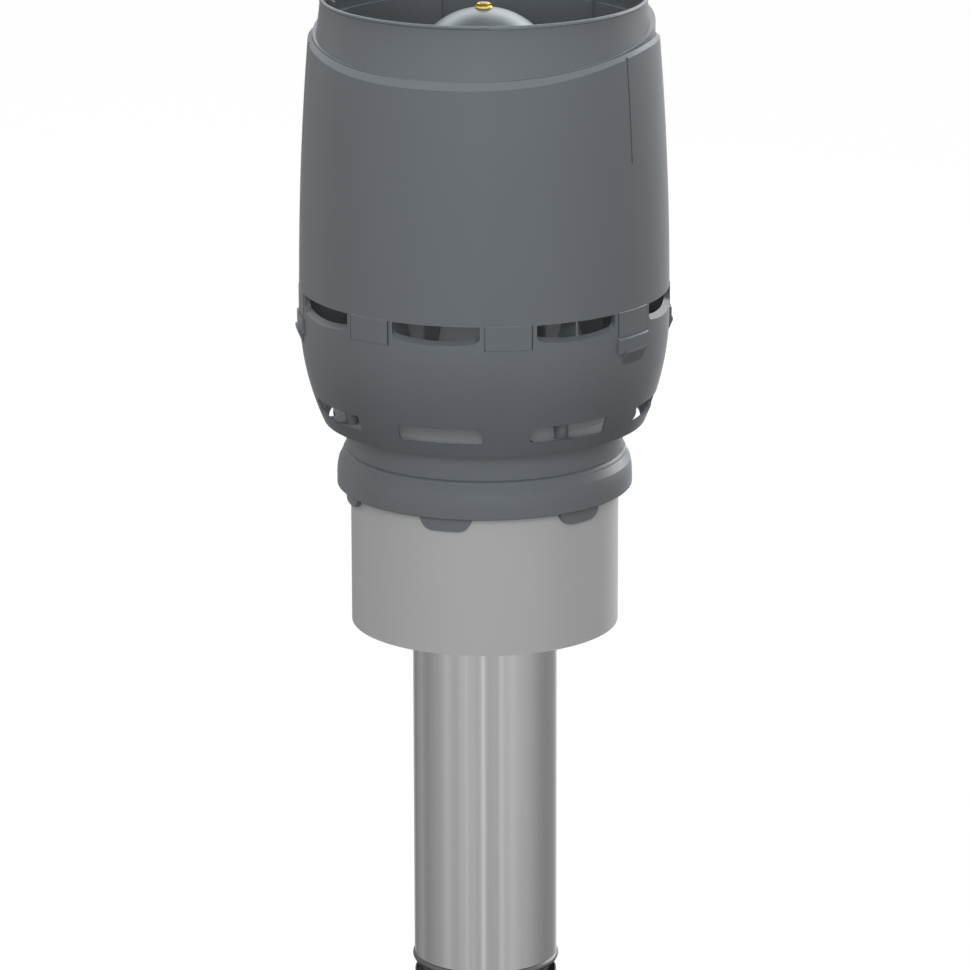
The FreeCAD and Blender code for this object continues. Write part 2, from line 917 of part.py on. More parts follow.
def hood_shell():
    """The barrel of the hood: wavy sloped shoulder, eight tabs, four slits."""
    blank_top = shell_top - shoulder_bore_drop + shoulder_bore_rise + overrun
    body = turned(
        (bowl_top_radius - shell_wall, shell_bottom),
        (bowl_top_radius, shell_bottom),
        shell_face.span(shell_bottom, blank_top),
        (shoulder_bore, blank_top),
        (shoulder_bore, rib_bottom),
        shell_face.span(rib_bottom, shell_bottom, shell_wall),
    )
    shell = bored(body, [shoulder_cut()], [shell_slit(side) for side in catch_sides])
    return joined(shell, pattern(shell_tab(), hood_sides, hood_turn + window_pitch / 2))


def ring_lip(foot):
    """The lip round the ring's foot. A tilted plane cuts its top: low at the hood's front, high behind."""
    half = ring_wall / 2
    slope = math.tan(math.radians(ring_lip_tilt))
    axis_level = ring_top - ring_lip_drop + ring_foot_radius * slope
    high = axis_level + ring_foot_radius * slope + overrun
    band = turned((ring_foot_radius, foot), (ring_foot_radius, high), ring_face.span(high, foot, half))
    side = 2 * ring_foot_radius + 2 * ring_lip_drop
    above = Part.makeBox(side, side, ring_lip_drop, Vector(-side / 2, -side / 2, 0))
    above.rotate(Vector(), Vector(0, 1, 0), ring_lip_tilt)
    above.translate(Vector(0, 0, axis_level))
    return band.cut(spun(above, hood_turn))


def outlet_ring():
    """The ring round the outlet: flared wall with a rounded rim and a lip, inner tube, flange and fins."""
    foot = ring_top - ring_foot_drop
    flange_radius = ring_foot_radius + ring_flange
    flange_bottom = rib_bottom - ring_flange_thickness
    rim_inner = ring_face.radius(ring_crown, ring_wall)
    rim_outer = ring_rim_radius + rim_lip
    rim_middle = (rim_inner + rim_outer) / 2
    flare = turned(
        (ring_foot_radius, rib_bottom),
        (ring_foot_radius, foot),
        ring_face.span(foot, ring_crown),
        (rim_outer, ring_crown + rim_lip),
        [(rim_outer, ring_crown + rim_lip), (rim_middle, ring_top), (rim_inner, ring_crown + rim_lip)],
        (rim_inner, ring_crown),
        ring_face.span(ring_crown, foot, ring_wall),
        (ring_foot_radius - ring_wall, flange_bottom),
        (flange_radius, flange_bottom),
        (flange_radius, rib_bottom),
    )
    step = ring_top - inner_tube_drop
    under = step - inner_tube_step
    tube_outer = inner_tube_radius + inner_tube_wall
    tube = turned(
        (inner_tube_radius, flange_bottom),
        (tube_outer, flange_bottom),
        (tube_outer, under),
        (ring_face.radius(under, ring_wall / 2), under),
        (ring_face.radius(step, ring_wall / 2), step),
        (inner_tube_radius, step),
    )
    fin_top = ring_top - ring_fin_drop
    fin_bottom = fin_top - ring_fin_length
    root = inner_tube_radius + inner_tube_wall / 2
    edge = inner_tube_radius - ring_fin_depth
    fin = [
        (root, fin_bottom),
        (root, under),
        (ring_face.radius(step, ring_wall / 2), under),
        (ring_face.radius(fin_top, ring_wall / 2), fin_top),
        (edge, fin_top - ring_fin_slope),
        (edge, fin_bottom + ring_fin_slope),
    ]
    fins = pattern(plate(fin, ring_fin_thickness, 0), fin_count, ring_fin_turn)
    return joined(flare, [tube, ring_lip(foot)], fins)


def rain_dome():
    """A half ball with a short skirt, a flat seat on top and a boss inside it."""
    diagonal = math.sqrt(0.5)
    lip_top = skirt_bottom + dome_lip_height
    boss_root = dome_centre + math.sqrt(dome_bore**2 - dome_boss_radius**2)
    outer_middle = (dome_radius * diagonal, dome_centre + dome_radius * diagonal)
    inner_middle = (dome_bore * diagonal, dome_centre + dome_bore * diagonal)
    return turned(
        (stud_hole, dome_seat),
        (dome_seat_radius, dome_seat),
        [(dome_seat_radius, dome_seat), outer_middle, (dome_radius, dome_centre)],
        (dome_radius, lip_top + dome_lip_slope),
        (dome_radius + dome_lip, lip_top),
        (dome_radius + dome_lip, skirt_bottom),
        (dome_bore, skirt_bottom),
        [(dome_bore, dome_centre), inner_middle, (dome_boss_radius, boss_root)],
        (dome_boss_radius, dome_boss_bottom),
        (stud_hole, dome_boss_bottom),
    )


def dome_washer():
    return ring(stud_hole, dome_washer_radius, dome_seat, dome_seat + dome_washer_thickness)


def dome_nut():
    """A flanged hexagon nut with a crowned top."""
    low = dome_seat + dome_washer_thickness
    flange_top = low + nut_flange_thickness
    top = low + nut_height
    corner = hex_corner(nut_across_flats)
    flange_edge = nut_flange_radius - edge_break / 2
    flange = turned((0, low), (nut_flange_radius, low), (flange_edge, flange_top), (0, flange_top))
    crown = turned((0, low), (corner, low), (corner, top - nut_crown), (corner - nut_crown_width, top), (0, top))
    body = flange.fuse(hexagon(nut_across_flats, low, top).common(crown))
    return bored(body, [post(stud_thread, low - overrun, top + overrun, 0)])


def dome_stud():
    low = hub_bottom - small_nut_height - stud_tail
    high = dome_seat + dome_washer_thickness + nut_height + stud_end
    tip = stud_radius - stud_chamfer
    return turned((0, low), (stud_radius, low), (stud_radius, high - stud_chamfer), (tip, high), (0, high))


def stud_nuts():
    """Three equal nuts: under the hub, on the hub, and under the dome's boss."""
    nuts = []
    for low in (hub_bottom - small_nut_height, hub_top, dome_boss_bottom - small_nut_height):
        high = low + small_nut_height
        body = hexagon(small_nut_across_flats, low, high)
        nuts.append(body.cut(post(stud_thread, low - overrun, high + overrun, 0)))
    return Part.makeCompound(nuts)


def carrier_bore():
    return duct_bore - slide_fit - carrier_ring_wall


def dome_carrier():
    """A band in the nozzle's mouth, with three arms to a hub and a screw pad at each arm."""
    outer = duct_bore - slide_fit
    inner = carrier_bore()
    low = nozzle_top - carrier_depth
    band = turned(
        (inner, low),
        (outer, low),
        (outer, nozzle_top),
        (nozzle_radius, nozzle_top),
        (nozzle_radius, hub_top - edge_break),
        (nozzle_radius - edge_break, hub_top),
        (inner, hub_top),
    )
    root = inner + carrier_ring_wall / 2
    arm_profile = [
        (stud_radius / 2, hub_bottom),
        (root, hub_bottom + carrier_arm_slope),
        (root, hub_top),
        (stud_radius / 2, hub_top),
    ]
    arm = plate(arm_profile, carrier_arm_width, 0)
    pad_radius = carrier_screw_head_radius + carrier_pad_rim
    pad = spoke(pad_radius, inner - carrier_pad_depth, outer, carrier_screw_level)
    pad = pad.common(post(root, low, hub_top, 0))
    hub = post(carrier_hub_radius, hub_bottom, hub_top, 0)
    hole = post(stud_hole, hub_bottom - overrun, hub_top + overrun, 0)
    pilot_start = inner - carrier_pad_depth / 2
    pilot = spoke(carrier_screw_radius + thread_fit, pilot_start, nozzle_radius, carrier_screw_level)
    solid = joined(band, [hub], pattern(arm.fuse(pad), carrier_arm_count, carrier_turn))
    return bored(solid, [hole], pattern(pilot, carrier_arm_count, carrier_turn))


def carrier_screws():
    head_end = nozzle_radius + carrier_screw_head_height
    shank = spoke(carrier_screw_radius, carrier_bore(), nozzle_radius, carrier_screw_level)
    head = spoke(carrier_screw_head_radius, nozzle_radius, head_end, carrier_screw_level)
    return Part.makeCompound(pattern(shank.fuse(head), carrier_arm_count, carrier_turn))


def hood_screws():
    head = post(screw_head_radius, arm_bottom - screw_head_height, arm_bottom, post_circle)
    shank = post(screw_radius, arm_bottom, arm_top + hood_screw_reach, post_circle)
    screw = head.fuse(shank)
    return Part.makeCompound([spun(screw, angle) for angle in post_angles])


def pipe_top_seal():
    """A rubber ring round the duct, below the nozzle's socket."""
    high = duct_top - socket_depth
    return ring(duct_radius, duct_radius + pipe_top_seal_width, high - pipe_top_seal_height, high)


def build_all():
    return {
        "duct_nipple": duct_nipple(),
        "nipple_lower_seal": nipple_lower_seal(),
        "nipple_upper_seal": nipple_upper_seal(),
        "inner_pipe": inner_pipe(),
        "outer_pipe": outer_pipe(),
        "lower_closing_ring": lower_closing_ring(),
        "upper_closing_ring": upper_closing_ring(),
        "insulation_sleeve": insulation_sleeve(),
        "cone_insulation": cone_insulation(),
        "collar_ring": collar_ring(),
        "collar_seal": collar_seal(),
        "hood_base": hood_base(),
        "pipe_top_seal": pipe_top_seal(),
        "hood_bowl": hood_bowl(),
        "hood_screws": hood_screws(),
        "hood_shell": hood_shell(),
        "outlet_ring": outlet_ring(),
        "dome_carrier": dome_carrier(),
        "carrier_screws": carrier_screws(),
        "dome_stud": dome_stud(),
        "stud_nuts": stud_nuts(),
        "rain_dome": rain_dome(),
        "dome_washer": dome_washer(),
        "dome_nut": dome_nut(),
    }


os.makedirs("parts", exist_ok=True)
for name, shape in build_all().items():
    shape.exportStep("parts/" + name + ".step")
    print(name, len(shape.Solids), "solid", shape.isValid(), round(shape.Volume / 1000.0, 1), "cm3")
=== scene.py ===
"""Finishes of the roof ventilation pipe, its small screws, its threaded rod and the studio."""

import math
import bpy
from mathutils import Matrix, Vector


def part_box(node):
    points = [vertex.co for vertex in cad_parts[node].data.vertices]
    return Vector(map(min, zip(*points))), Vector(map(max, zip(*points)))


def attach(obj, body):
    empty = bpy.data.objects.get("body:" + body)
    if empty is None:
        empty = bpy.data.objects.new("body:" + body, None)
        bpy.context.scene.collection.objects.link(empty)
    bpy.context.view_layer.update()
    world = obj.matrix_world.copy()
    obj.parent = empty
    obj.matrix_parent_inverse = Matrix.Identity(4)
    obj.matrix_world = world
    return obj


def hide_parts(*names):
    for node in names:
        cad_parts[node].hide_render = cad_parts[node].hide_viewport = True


bl_info = {
    "name": "Roof ventilation pipe",
    "version": (1, 0, 0),
    "blender": (4, 5, 0),
    "location": "3D View > Sidebar > Ventilation pipe",
    "description": "Finishes for the hood, the pipe and the duct, with screws, a rod and a studio",
    "category": "Object",
}

import bmesh
import bpy
from mathutils import Quaternion, Vector

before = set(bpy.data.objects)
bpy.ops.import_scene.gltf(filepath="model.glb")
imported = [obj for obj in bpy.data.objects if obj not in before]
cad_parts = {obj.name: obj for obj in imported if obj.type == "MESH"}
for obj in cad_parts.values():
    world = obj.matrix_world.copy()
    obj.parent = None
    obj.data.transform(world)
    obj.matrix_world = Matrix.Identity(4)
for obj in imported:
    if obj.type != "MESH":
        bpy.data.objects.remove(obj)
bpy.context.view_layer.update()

HOOD_NODES = ("hood_shell", "outlet_ring", "hood_bowl", "collar_ring")
BASE_NODES = ("hood_base", "dome_carrier")
PIPE_NODES = ("outer_pipe", "lower_closing_ring", "upper_closing_ring")
STEEL_NODES = ("inner_pipe",)
COUPLING_NODES = ("duct_nipple",)
DOME_NODES = ("rain_dome",)
BRASS_NODES = ("dome_nut",)
ZINC_NODES = ("stud_nuts", "dome_washer")
RUBBER_NODES = ("nipple_upper_seal", "nipple_lower_seal", "collar_seal", "pipe_top_seal")
FOAM_NODES = ("insulation_sleeve", "cone_insulation")

# The base's grey goes over to a paler grey, painted light where the bowl shades the inside, between
# these two heights over the bowl's lower edge.
PAINTED_LIGHT_START, PAINTED_LIGHT_END = -0.004, 0.006

# Sizes of the screws. The undersides of their heads stand on the circle, the first one at the first
# angle. The carrier's screws point inward, and their tips end at the distance given for them.
HOOD_SCREWS = {
    "count": 4,
    "first_angle": -60.2,
    "circle": 0.126,
    "radius": 0.002,
    "head_radius": 0.004,
    "head_height": 0.0025,
}
CARRIER_SCREWS = {
    "count": 3,
    "first_angle": 30.0,
    "circle": 0.064,
    "tips": 0.0574,
    "radius": 0.0016,
    "head_radius": 0.003,
    "head_height": 0.002,
}
ROD_RADIUS, ROD_CHAMFER = 0.003, 0.0006

# Edges that turn by more than this stay sharp.
SHARP_ANGLE = math.radians(32)

# How bright the floor glows to the camera, and how much of what the camera sees of it is that glow.
FLOOR_GLOW, FLOOR_GLOW_SHARE = 1.12, 0.88
LAMP_TARGET = (0.0, 0.0, 0.5)
LEFT_LIGHT_SHARE = 0.7

# The mirrored room, in degrees. Bearings count from the camera's side, and heights from the horizon.
# Each pair says where a change begins and where it is complete.
ROOM_SIDES, WALL_BEARINGS = (60.0, 115.0), (125.0, 155.0)
WALL_FOOT, WALL_TOP = (14.0, 30.0), (32.0, 50.0)
WINDOW_FOOT, WINDOW_TOP = (-4.0, 6.0), (26.0, 38.0)
WINDOW_BEARING, WINDOW_WIDTH = 130.0, 16.0
CEILING, GROUND = (38.0, 64.0), (-36.0, -17.0)

# Bearing, width and brightness of each mirrored card. The one below nought is a dark curtain.
CARDS = (
    (-150.0, 8.0, -0.20),
    (-122.0, 9.0, 0.16),
    (-65.0, 6.0, 0.12),
    (-28.0, 11.0, 0.24),
    (-3.0, 3.2, 0.60),
    (26.0, 4.5, 0.30),
    (42.0, 11.0, 0.20),
    (168.0, 13.0, 0.42),
)


def paint(red, green, blue):
    """A colour as a paint chart gives it, from 0 to 255, in the numbers that light adds up in."""
    return tuple(
        part / 12.92 if part <= 0.04045 else ((part + 0.055) / 1.055) ** 2.4
        for part in (red / 255, green / 255, blue / 255)
    )


class Signal:
    """What one socket of a node tree puts out. Sums and products on it add their Math nodes."""

    def __init__(self, recipe, socket):
        self.recipe = recipe
        self.socket = socket

    def __add__(self, other):
        return self.recipe.math("ADD", self, other)

    def __radd__(self, other):
        return self.recipe.math("ADD", other, self)

    def __sub__(self, other):
        return self.recipe.math("SUBTRACT", self, other)

    def __rsub__(self, other):
        return self.recipe.math("SUBTRACT", other, self)

    def __mul__(self, other):
        return self.recipe.math("MULTIPLY", self, other)

    def __rmul__(self, other):
        return self.recipe.math("MULTIPLY", other, self)

    def __truediv__(self, other):
        return self.recipe.math("DIVIDE", self, other)

    def __rtruediv__(self, other):
        return self.recipe.math("DIVIDE", other, self)

    def __pow__(self, other):
        return self.recipe.math("POWER", self, other)

    def __neg__(self):
        return self.recipe.math("MULTIPLY", self, -1.0)


class Recipe:
    """A node tree while it is being written."""

    def __init__(self, tree):
        self.tree = tree
        self.tree.nodes.clear()

    def feed(self, socket, value):
        """Links a signal, or a list of them, to a socket, or sets the socket's value."""
        if isinstance(value, Signal):
            self.tree.links.new(value.socket, socket)
        elif isinstance(value, (list, tuple)) and value and isinstance(value[0], Signal):
            for part in value:
                self.tree.links.new(part.socket, socket)
        elif socket.type == "RGBA":
            socket.default_value = tuple(value)[:3] + (1.0,)
        else:
            socket.default_value = value

    def raw(self, kind, settings=None, inputs=None):
        """Adds a node, and gives the node itself."""
        made = self.tree.nodes.new(kind)
        for name, value in (settings or {}).items():
            setattr(made, name, value)
        for name, value in (inputs or {}).items():
            self.feed(made.inputs[name], value)
        return made

    def node(self, kind, settings=None, inputs=None, output=0):
        """Adds a node, and gives the signal of one of its outputs."""
        return Signal(self, self.raw(kind, settings, inputs).outputs[output])

    def math(self, operation, *terms):
        return self.node("ShaderNodeMath", {"operation": operation}, dict(enumerate(terms)))

    def split(self, vector):
        made = self.raw("ShaderNodeSeparateXYZ", None, {0: vector})
        return tuple(Signal(self, socket) for socket in made.outputs)

    def join(self, x, y, z):
        return self.node("ShaderNodeCombineXYZ", None, {0: x, 1: y, 2: z})

    def place(self):
        return self.node("ShaderNodeTexCoord", output="Object")

    def noise(self, vector, scale, detail=2.0, roughness=0.5):
        """A cloud of values round nought, about a third of a unit each way."""
        inputs = {"Vector": vector, "Scale": scale, "Detail": detail, "Roughness": roughness}
        return self.node("ShaderNodeTexNoise", None, inputs, "Fac") - 0.5

    def shade(self, colour, strength):
        """A colour made lighter or darker by a signal round 1."""
        vector = colour if isinstance(colour, Signal) else tuple(colour)[:3]
        return self.node(
            "ShaderNodeVectorMath", {"operation": "SCALE"}, {"Vector": vector, "Scale": strength}
        )

    def blend(self, share, first, second):
        """One colour where the share is nought, and another where it is 1."""
        inputs = {0: share, 6: first, 7: second}
        return self.node("ShaderNodeMix", {"data_type": "RGBA"}, inputs, 2)

    def eased(self, value, start, end, low, high):
        """Goes softly from one number to another while a signal goes from start to end."""
        inputs = {"Value": value, "From Min": start, "From Max": end, "To Min": low, "To Max": high}
        return self.node("ShaderNodeMapRange", {"interpolation_type": "SMOOTHSTEP"}, inputs)

    def relief(self, height, depth):
        """Bumps of a given depth where a signal rises by 1."""
        inputs = {"Height": height, "Distance": depth, "Strength": 1.0}
        return self.node("ShaderNodeBump", None, inputs, "Normal")

    def surface(self, **sockets):
        """The material's own shader, with its sockets by name."""
        names = {name.replace("_", " "): value for name, value in sockets.items()}
        shader = self.node("ShaderNodeBsdfPrincipled", None, names)
        self.raw("ShaderNodeOutputMaterial", None, {"Surface": shader})


def new_finish(name):
    """An empty material, and the recipe that writes it."""
    material = bpy.data.materials.new(name)
    material.use_nodes = True
    return material, Recipe(material.node_tree)


def around_axis(recipe, place, stretch):
    """A direction from the axis and a stretched height.

    What reads it changes round the pipe, and less along it the smaller the stretch is.
    """
    x, y, z = recipe.split(place)
    radius = (x * x + y * y) ** 0.5 + 0.000001
    return recipe.join(x / radius, y / radius, z * stretch)


def radius_and_height(recipe, place):
    """What reads it makes rings round the axis."""
    x, y, z = recipe.split(place)
    return recipe.join((x * x + y * y) ** 0.5, 0.0, z)


def moulded_plastic(name, look, colour, painted_light=None):
    """Grey moulded plastic with the grain of its mould and a faint flow of lighter and darker grey.

    With a colour for painted light, it goes over to that paler grey above the lower edge of the bowl:
    painted light where the bowl shades the inside.
    """
    material, recipe = new_finish(name)
    place = recipe.place()
    if painted_light is not None:
        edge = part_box("hood_bowl")[0].z
        height = recipe.split(place)[2]
        # Paler grey above the bowl's lower edge: painted light inside the bowl, where it is in shade.
        painted_light_share = recipe.eased(height, edge + PAINTED_LIGHT_START, edge + PAINTED_LIGHT_END, 0.0, 1.0)
        colour = recipe.blend(painted_light_share, colour, painted_light)
    cloud = recipe.noise(place, look.cloud_scale, detail=3.0)
    grain = recipe.noise(place, 1 / look.grain_size, roughness=0.6)
    flow = recipe.noise(around_axis(recipe, place, stretch=2.0), look.flow_scale)
    recipe.surface(
        Base_Color=recipe.shade(colour, 1.0 + cloud * 0.10 + flow * 0.06 + grain * 0.10),
        Roughness=look.roughness + cloud * 0.06 + grain * 0.14,
        IOR=1.49,
        Normal=recipe.relief(grain, look.grain_depth),
    )
    return material


def extruded_plastic(look):
    """Light grey extruded plastic: smooth, with faint lines that run along the pipe."""
    material, recipe = new_finish("extruded_grey_plastic")
    place = recipe.place()
    along = around_axis(recipe, place, stretch=0.3)
    lines = recipe.noise(along, look.line_scale, detail=3.0, roughness=0.6)
    wash = recipe.noise(around_axis(recipe, place, stretch=1.0), scale=2.2)
    scuffs = recipe.noise(place, scale=60.0, detail=4.0, roughness=0.65)
    colour = recipe.shade(look.colour, 1.0 + lines * 0.03 + wash * 0.05 + scuffs * 0.02)
    recipe.surface(
        Base_Color=colour,
        Roughness=look.roughness + lines * 0.08 + scuffs * 0.06,
        IOR=1.5,
        Normal=recipe.relief(lines, look.line_depth),
    )
    return material


def rolled_steel(name, look, colour, roughness):
    """Zinc-coated sheet, drawn lengthwise: soft streaks along the duct, broad ones and fine ones."""
    material, recipe = new_finish(name)
    place = recipe.place()
    broad = recipe.noise(around_axis(recipe, place, stretch=0.05), look.streak_scale)
    fine_scale = look.streak_scale * 9.0
    fine = recipe.noise(around_axis(recipe, place, stretch=0.4), fine_scale, detail=3.0, roughness=0.6)
    bloom = recipe.noise(place, scale=90.0, detail=3.0, roughness=0.6)
    tone = 1.0 + broad * look.streak_contrast + fine * look.streak_contrast * 0.35 + bloom * 0.05
    recipe.surface(
        Base_Color=recipe.shade(colour, tone),
        Metallic=1.0,
        Roughness=roughness + fine * 0.10 + bloom * 0.05,
        Normal=recipe.relief(fine, look.streak_depth),
    )
    return material


def spun_aluminium(look):
    """Satin aluminium with the fine rings that spinning leaves round the dome."""
    material, recipe = new_finish("spun_aluminium")
    place = recipe.place()
    rings = recipe.noise(radius_and_height(recipe, place), scale=900.0, roughness=0.6)
    haze = recipe.noise(place, scale=35.0, detail=3.0, roughness=0.6)
    recipe.surface(
        Base_Color=recipe.shade(look.dome_colour, 1.0 + rings * 0.10 + haze * 0.12),
        Metallic=1.0,
        Roughness=look.dome_roughness + rings * 0.12 + haze * 0.10,
        Normal=recipe.relief(rings, depth=0.00001),
    )
    return material


def yellow_brass(look):
    """Bright brass with a slight brown bloom."""
    material, recipe = new_finish("yellow_brass")
    place = recipe.place()
    bloom = recipe.noise(place, scale=260.0, detail=3.0, roughness=0.6)
    turned = recipe.noise(radius_and_height(recipe, place), scale=2400.0, detail=1.0)
    colour = recipe.blend(0.5 + bloom * 1.2, look.brass_colour, look.bloom_colour)
    recipe.surface(
        Base_Color=colour,
        Metallic=1.0,
        Roughness=0.28 + bloom * 0.15 + turned * 0.08,
        Normal=recipe.relief(turned, depth=0.000006),
    )
    return material


def zinc_plating(look):
    """Zinc-plated small parts: bluish grey, uneven in gloss."""
    material, recipe = new_finish("zinc_plating")
    place = recipe.place()
    patches = recipe.noise(place, scale=420.0, detail=3.0, roughness=0.6)
    recipe.surface(
        Base_Color=recipe.shade(look.zinc_colour, 1.0 + patches * 0.25),
        Metallic=1.0,
        Roughness=0.36 + patches * 0.2,
        Normal=recipe.relief(patches, depth=0.000008),
    )
    return material


def seal_rubber(look):
    """Near-black rubber with a dull skin and a greyish bloom."""
    material, recipe = new_finish("seal_rubber")
    place = recipe.place()
    bloom = recipe.noise(place, scale=120.0, detail=3.0, roughness=0.6)
    skin = recipe.noise(place, scale=2200.0, roughness=0.6)
    recipe.surface(
        Base_Color=recipe.shade(look.rubber_colour, 1.0 + bloom * 0.5 + skin * 0.2),
        Roughness=0.68 + bloom * 0.15,
        IOR=1.5,
        Normal=recipe.relief(skin, depth=0.00002),
    )
    return material


def white_foam(look):
    """Closed-cell foam: small rounded cells and a faint yellowing."""
    material, recipe = new_finish("white_foam")
    place = recipe.place()
    inputs = {"Vector": place, "Scale": 1 / look.cell_size}
    cells = recipe.node("ShaderNodeTexVoronoi", None, inputs, "Distance")
    cloud = recipe.noise(place, scale=25.0, detail=3.0, roughness=0.6)
    colour = recipe.blend(0.5 + cloud, look.foam_colour, look.aged_colour)
    recipe.surface(Base_Color=colour, Roughness=0.85, Normal=recipe.relief(cells, depth=-0.0004))
    return material


def dress(nodes, material):
    """Puts one material on the meshes of these nodes."""
    for name in nodes:
        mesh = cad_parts[name]
        if not mesh.material_slots:
            mesh.data.materials.append(material)
        for slot in mesh.material_slots:
            slot.material = material


def new_tree(name, inputs):
    """A geometry tree with named inputs, each given as a name, a kind and a default.

    Gives back its recipe, and the inputs' signals by their names.
    """
    tree = bpy.data.node_groups.new(name, "GeometryNodeTree")
    tree.interface.new_socket(name="Geometry", in_out="OUTPUT", socket_type="NodeSocketGeometry")
    for label, kind, default in inputs:
        item = tree.interface.new_socket(name=label, in_out="INPUT", socket_type=kind)
        if default is not None:
            item.default_value = default
    recipe = Recipe(tree)
    entry = recipe.raw("NodeGroupInput")
    return recipe, {socket.name: Signal(recipe, socket) for socket in entry.outputs if socket.name}


def finish_tree(recipe, geometry, material):
    """Turns copies into real meshes, gives them their material and puts them out."""
    real = recipe.node("GeometryNodeRealizeInstances", None, {"Geometry": geometry})
    real = recipe.node("GeometryNodeSetMaterial", None, {"Geometry": real, "Material": material})
    recipe.raw("NodeGroupOutput", None, {0: real})


def threaded_shank_tree():
    """A round bar along Z from nought, with a helix for its thread and chamfered ends."""
    number = "NodeSocketFloat"
    recipe, sizes = new_tree(
        "threaded_shank",
        [
            ("Length", number, 0.02),
            ("Radius", number, 0.002),
            ("Pitch", number, 0.001),
            ("Thread Depth", number, 0.0004),
            ("Chamfer", number, 0.0006),
            ("Rows per Turn", number, 4.0),
            ("Sides", "NodeSocketInt", 20),
        ],
    )
    rows = recipe.math("ROUND", sizes["Length"] / sizes["Pitch"] * sizes["Rows per Turn"])
    bar = recipe.node(
        "GeometryNodeMeshCylinder",
        {"fill_type": "NGON"},
        {
            "Vertices": sizes["Sides"],
            "Side Segments": rows,
            "Radius": sizes["Radius"],
            "Depth": sizes["Length"],
        },
    )
    x, y, z = recipe.split(recipe.node("GeometryNodeInputPosition"))
    height = z + sizes["Length"] * 0.5
    turns = height / sizes["Pitch"] - recipe.math("ARCTAN2", y, x) / math.tau
    valley = 1.0 - recipe.math("PINGPONG", turns, 0.5) * 2.0
    threaded = sizes["Radius"] - sizes["Thread Depth"] * valley
    to_end = recipe.math("MINIMUM", height, sizes["Length"] - height)
    tapered = sizes["Radius"] - sizes["Chamfer"] + to_end
    share = recipe.math("MINIMUM", threaded, tapered) / sizes["Radius"]
    placed = recipe.node(
        "GeometryNodeSetPosition",
        None,
        {"Geometry": bar, "Position": recipe.join(x * share, y * share, height)},
    )
    recipe.raw("NodeGroupOutput", None, {0: placed})
    return recipe.tree


def screw_tree(shank_tree):
    """Pan-head screws with a cross recess, one on each point, along the point's aim.

    The point lies on the underside of the head.
    """
    number = "NodeSocketFloat"
    recipe, sizes = new_tree(
        "pan_head_screws",
        [
            ("Points", "NodeSocketGeometry", None),
            ("Shank Length", number, 0.018),
            ("Shank Radius", number, 0.002),
            ("Head Radius", number, 0.004),
            ("Head Height", number, 0.0025),
            ("Pitch", number, 0.0014),
            ("Thread Depth", number, 0.0005),
            ("Recess Width", number, 0.0042),
            ("Recess Slot", number, 0.001),
            ("Recess Depth", number, 0.0014),
            ("Finish", "NodeSocketMaterial", None),
        ],
    )
    sunk = sizes["Head Height"] * 0.4
    shank = recipe.node(
        "GeometryNodeGroup",
        {"node_tree": shank_tree},
        {
            "Length": sizes["Shank Length"] + sunk,
            "Radius": sizes["Shank Radius"],
            "Pitch": sizes["Pitch"],
            "Thread Depth": sizes["Thread Depth"],
            "Chamfer": sizes["Shank Radius"] * 0.5,
            "Rows per Turn": 6.0,
            "Sides": 20,
        },
    )
    shank = recipe.node(
        "GeometryNodeTransform",
        None,
        {"Geometry": shank, "Translation": recipe.join(0.0, 0.0, -sunk)},
    )
    disc = recipe.node(
        "GeometryNodeMeshCylinder",
        {"fill_type": "NGON"},
        {
            "Vertices": 32,
            "Side Segments": 8,
            "Radius": sizes["Head Radius"],
            "Depth": sizes["Head Height"],
        },
    )
    x, y, z = recipe.split(recipe.node("GeometryNodeInputPosition"))
    rise = 0.5 - z / sizes["Head Height"]
    taper = 0.34
    pull = 1.0 - taper * rise ** 3.0
    head = recipe.node(
        "GeometryNodeSetPosition",
        None,
        {
            "Geometry": disc,
            "Position": recipe.join(x * pull, y * pull, z - sizes["Head Height"] * 0.5),
        },
    )
    slots = []
    for wide, narrow in (("Recess Width", "Recess Slot"), ("Recess Slot", "Recess Width")):
        size = recipe.join(sizes[wide], sizes[narrow], sizes["Recess Depth"] * 2.0)
        block = recipe.node("GeometryNodeMeshCube", None, {"Size": size})
        drop = recipe.join(0.0, 0.0, -sizes["Head Height"])
        inputs = {"Geometry": block, "Translation": drop}
        slots.append(recipe.node("GeometryNodeTransform", None, inputs))
    whole = recipe.node("GeometryNodeMeshBoolean", {"operation": "UNION"}, {"Mesh 2": [head, shank]})
    inputs = {"Mesh 1": whole, "Mesh 2": slots}
    cut = recipe.node("GeometryNodeMeshBoolean", {"operation": "DIFFERENCE"}, inputs)
    data_type = {"data_type": "FLOAT_VECTOR"}
    aim = recipe.node("GeometryNodeInputNamedAttribute", data_type, {"Name": "aim"})
    turned = recipe.node("FunctionNodeAlignRotationToVector", {"axis": "Z"}, {"Vector": aim})
    copies = recipe.node(
        "GeometryNodeInstanceOnPoints",
        None,
        {"Points": sizes["Points"], "Instance": cut, "Rotation": turned},
    )
    finish_tree(recipe, copies, sizes["Finish"])
    return recipe.tree


def rod_tree(shank_tree):
    """A threaded rod along Z that starts at a given height."""
    number = "NodeSocketFloat"
    recipe, sizes = new_tree(
        "threaded_rod",
        [
            ("Low End", number, 0.7),
            ("Length", number, 0.13),
            ("Radius", number, 0.003),
            ("Pitch", number, 0.001),
            ("Thread Depth", number, 0.0005),
            ("Chamfer", number, 0.0006),
            ("Finish", "NodeSocketMaterial", None),
        ],
    )
    shared = {name: sizes[name] for name in ("Length", "Radius", "Pitch", "Thread Depth", "Chamfer")}
    bar = recipe.node("GeometryNodeGroup", {"node_tree": shank_tree}, shared)
    lifted = recipe.node(
        "GeometryNodeTransform",
        None,
        {"Geometry": bar, "Translation": recipe.join(0.0, 0.0, sizes["Low End"])},
    )
    finish_tree(recipe, lifted, sizes["Finish"])
    return recipe.tree


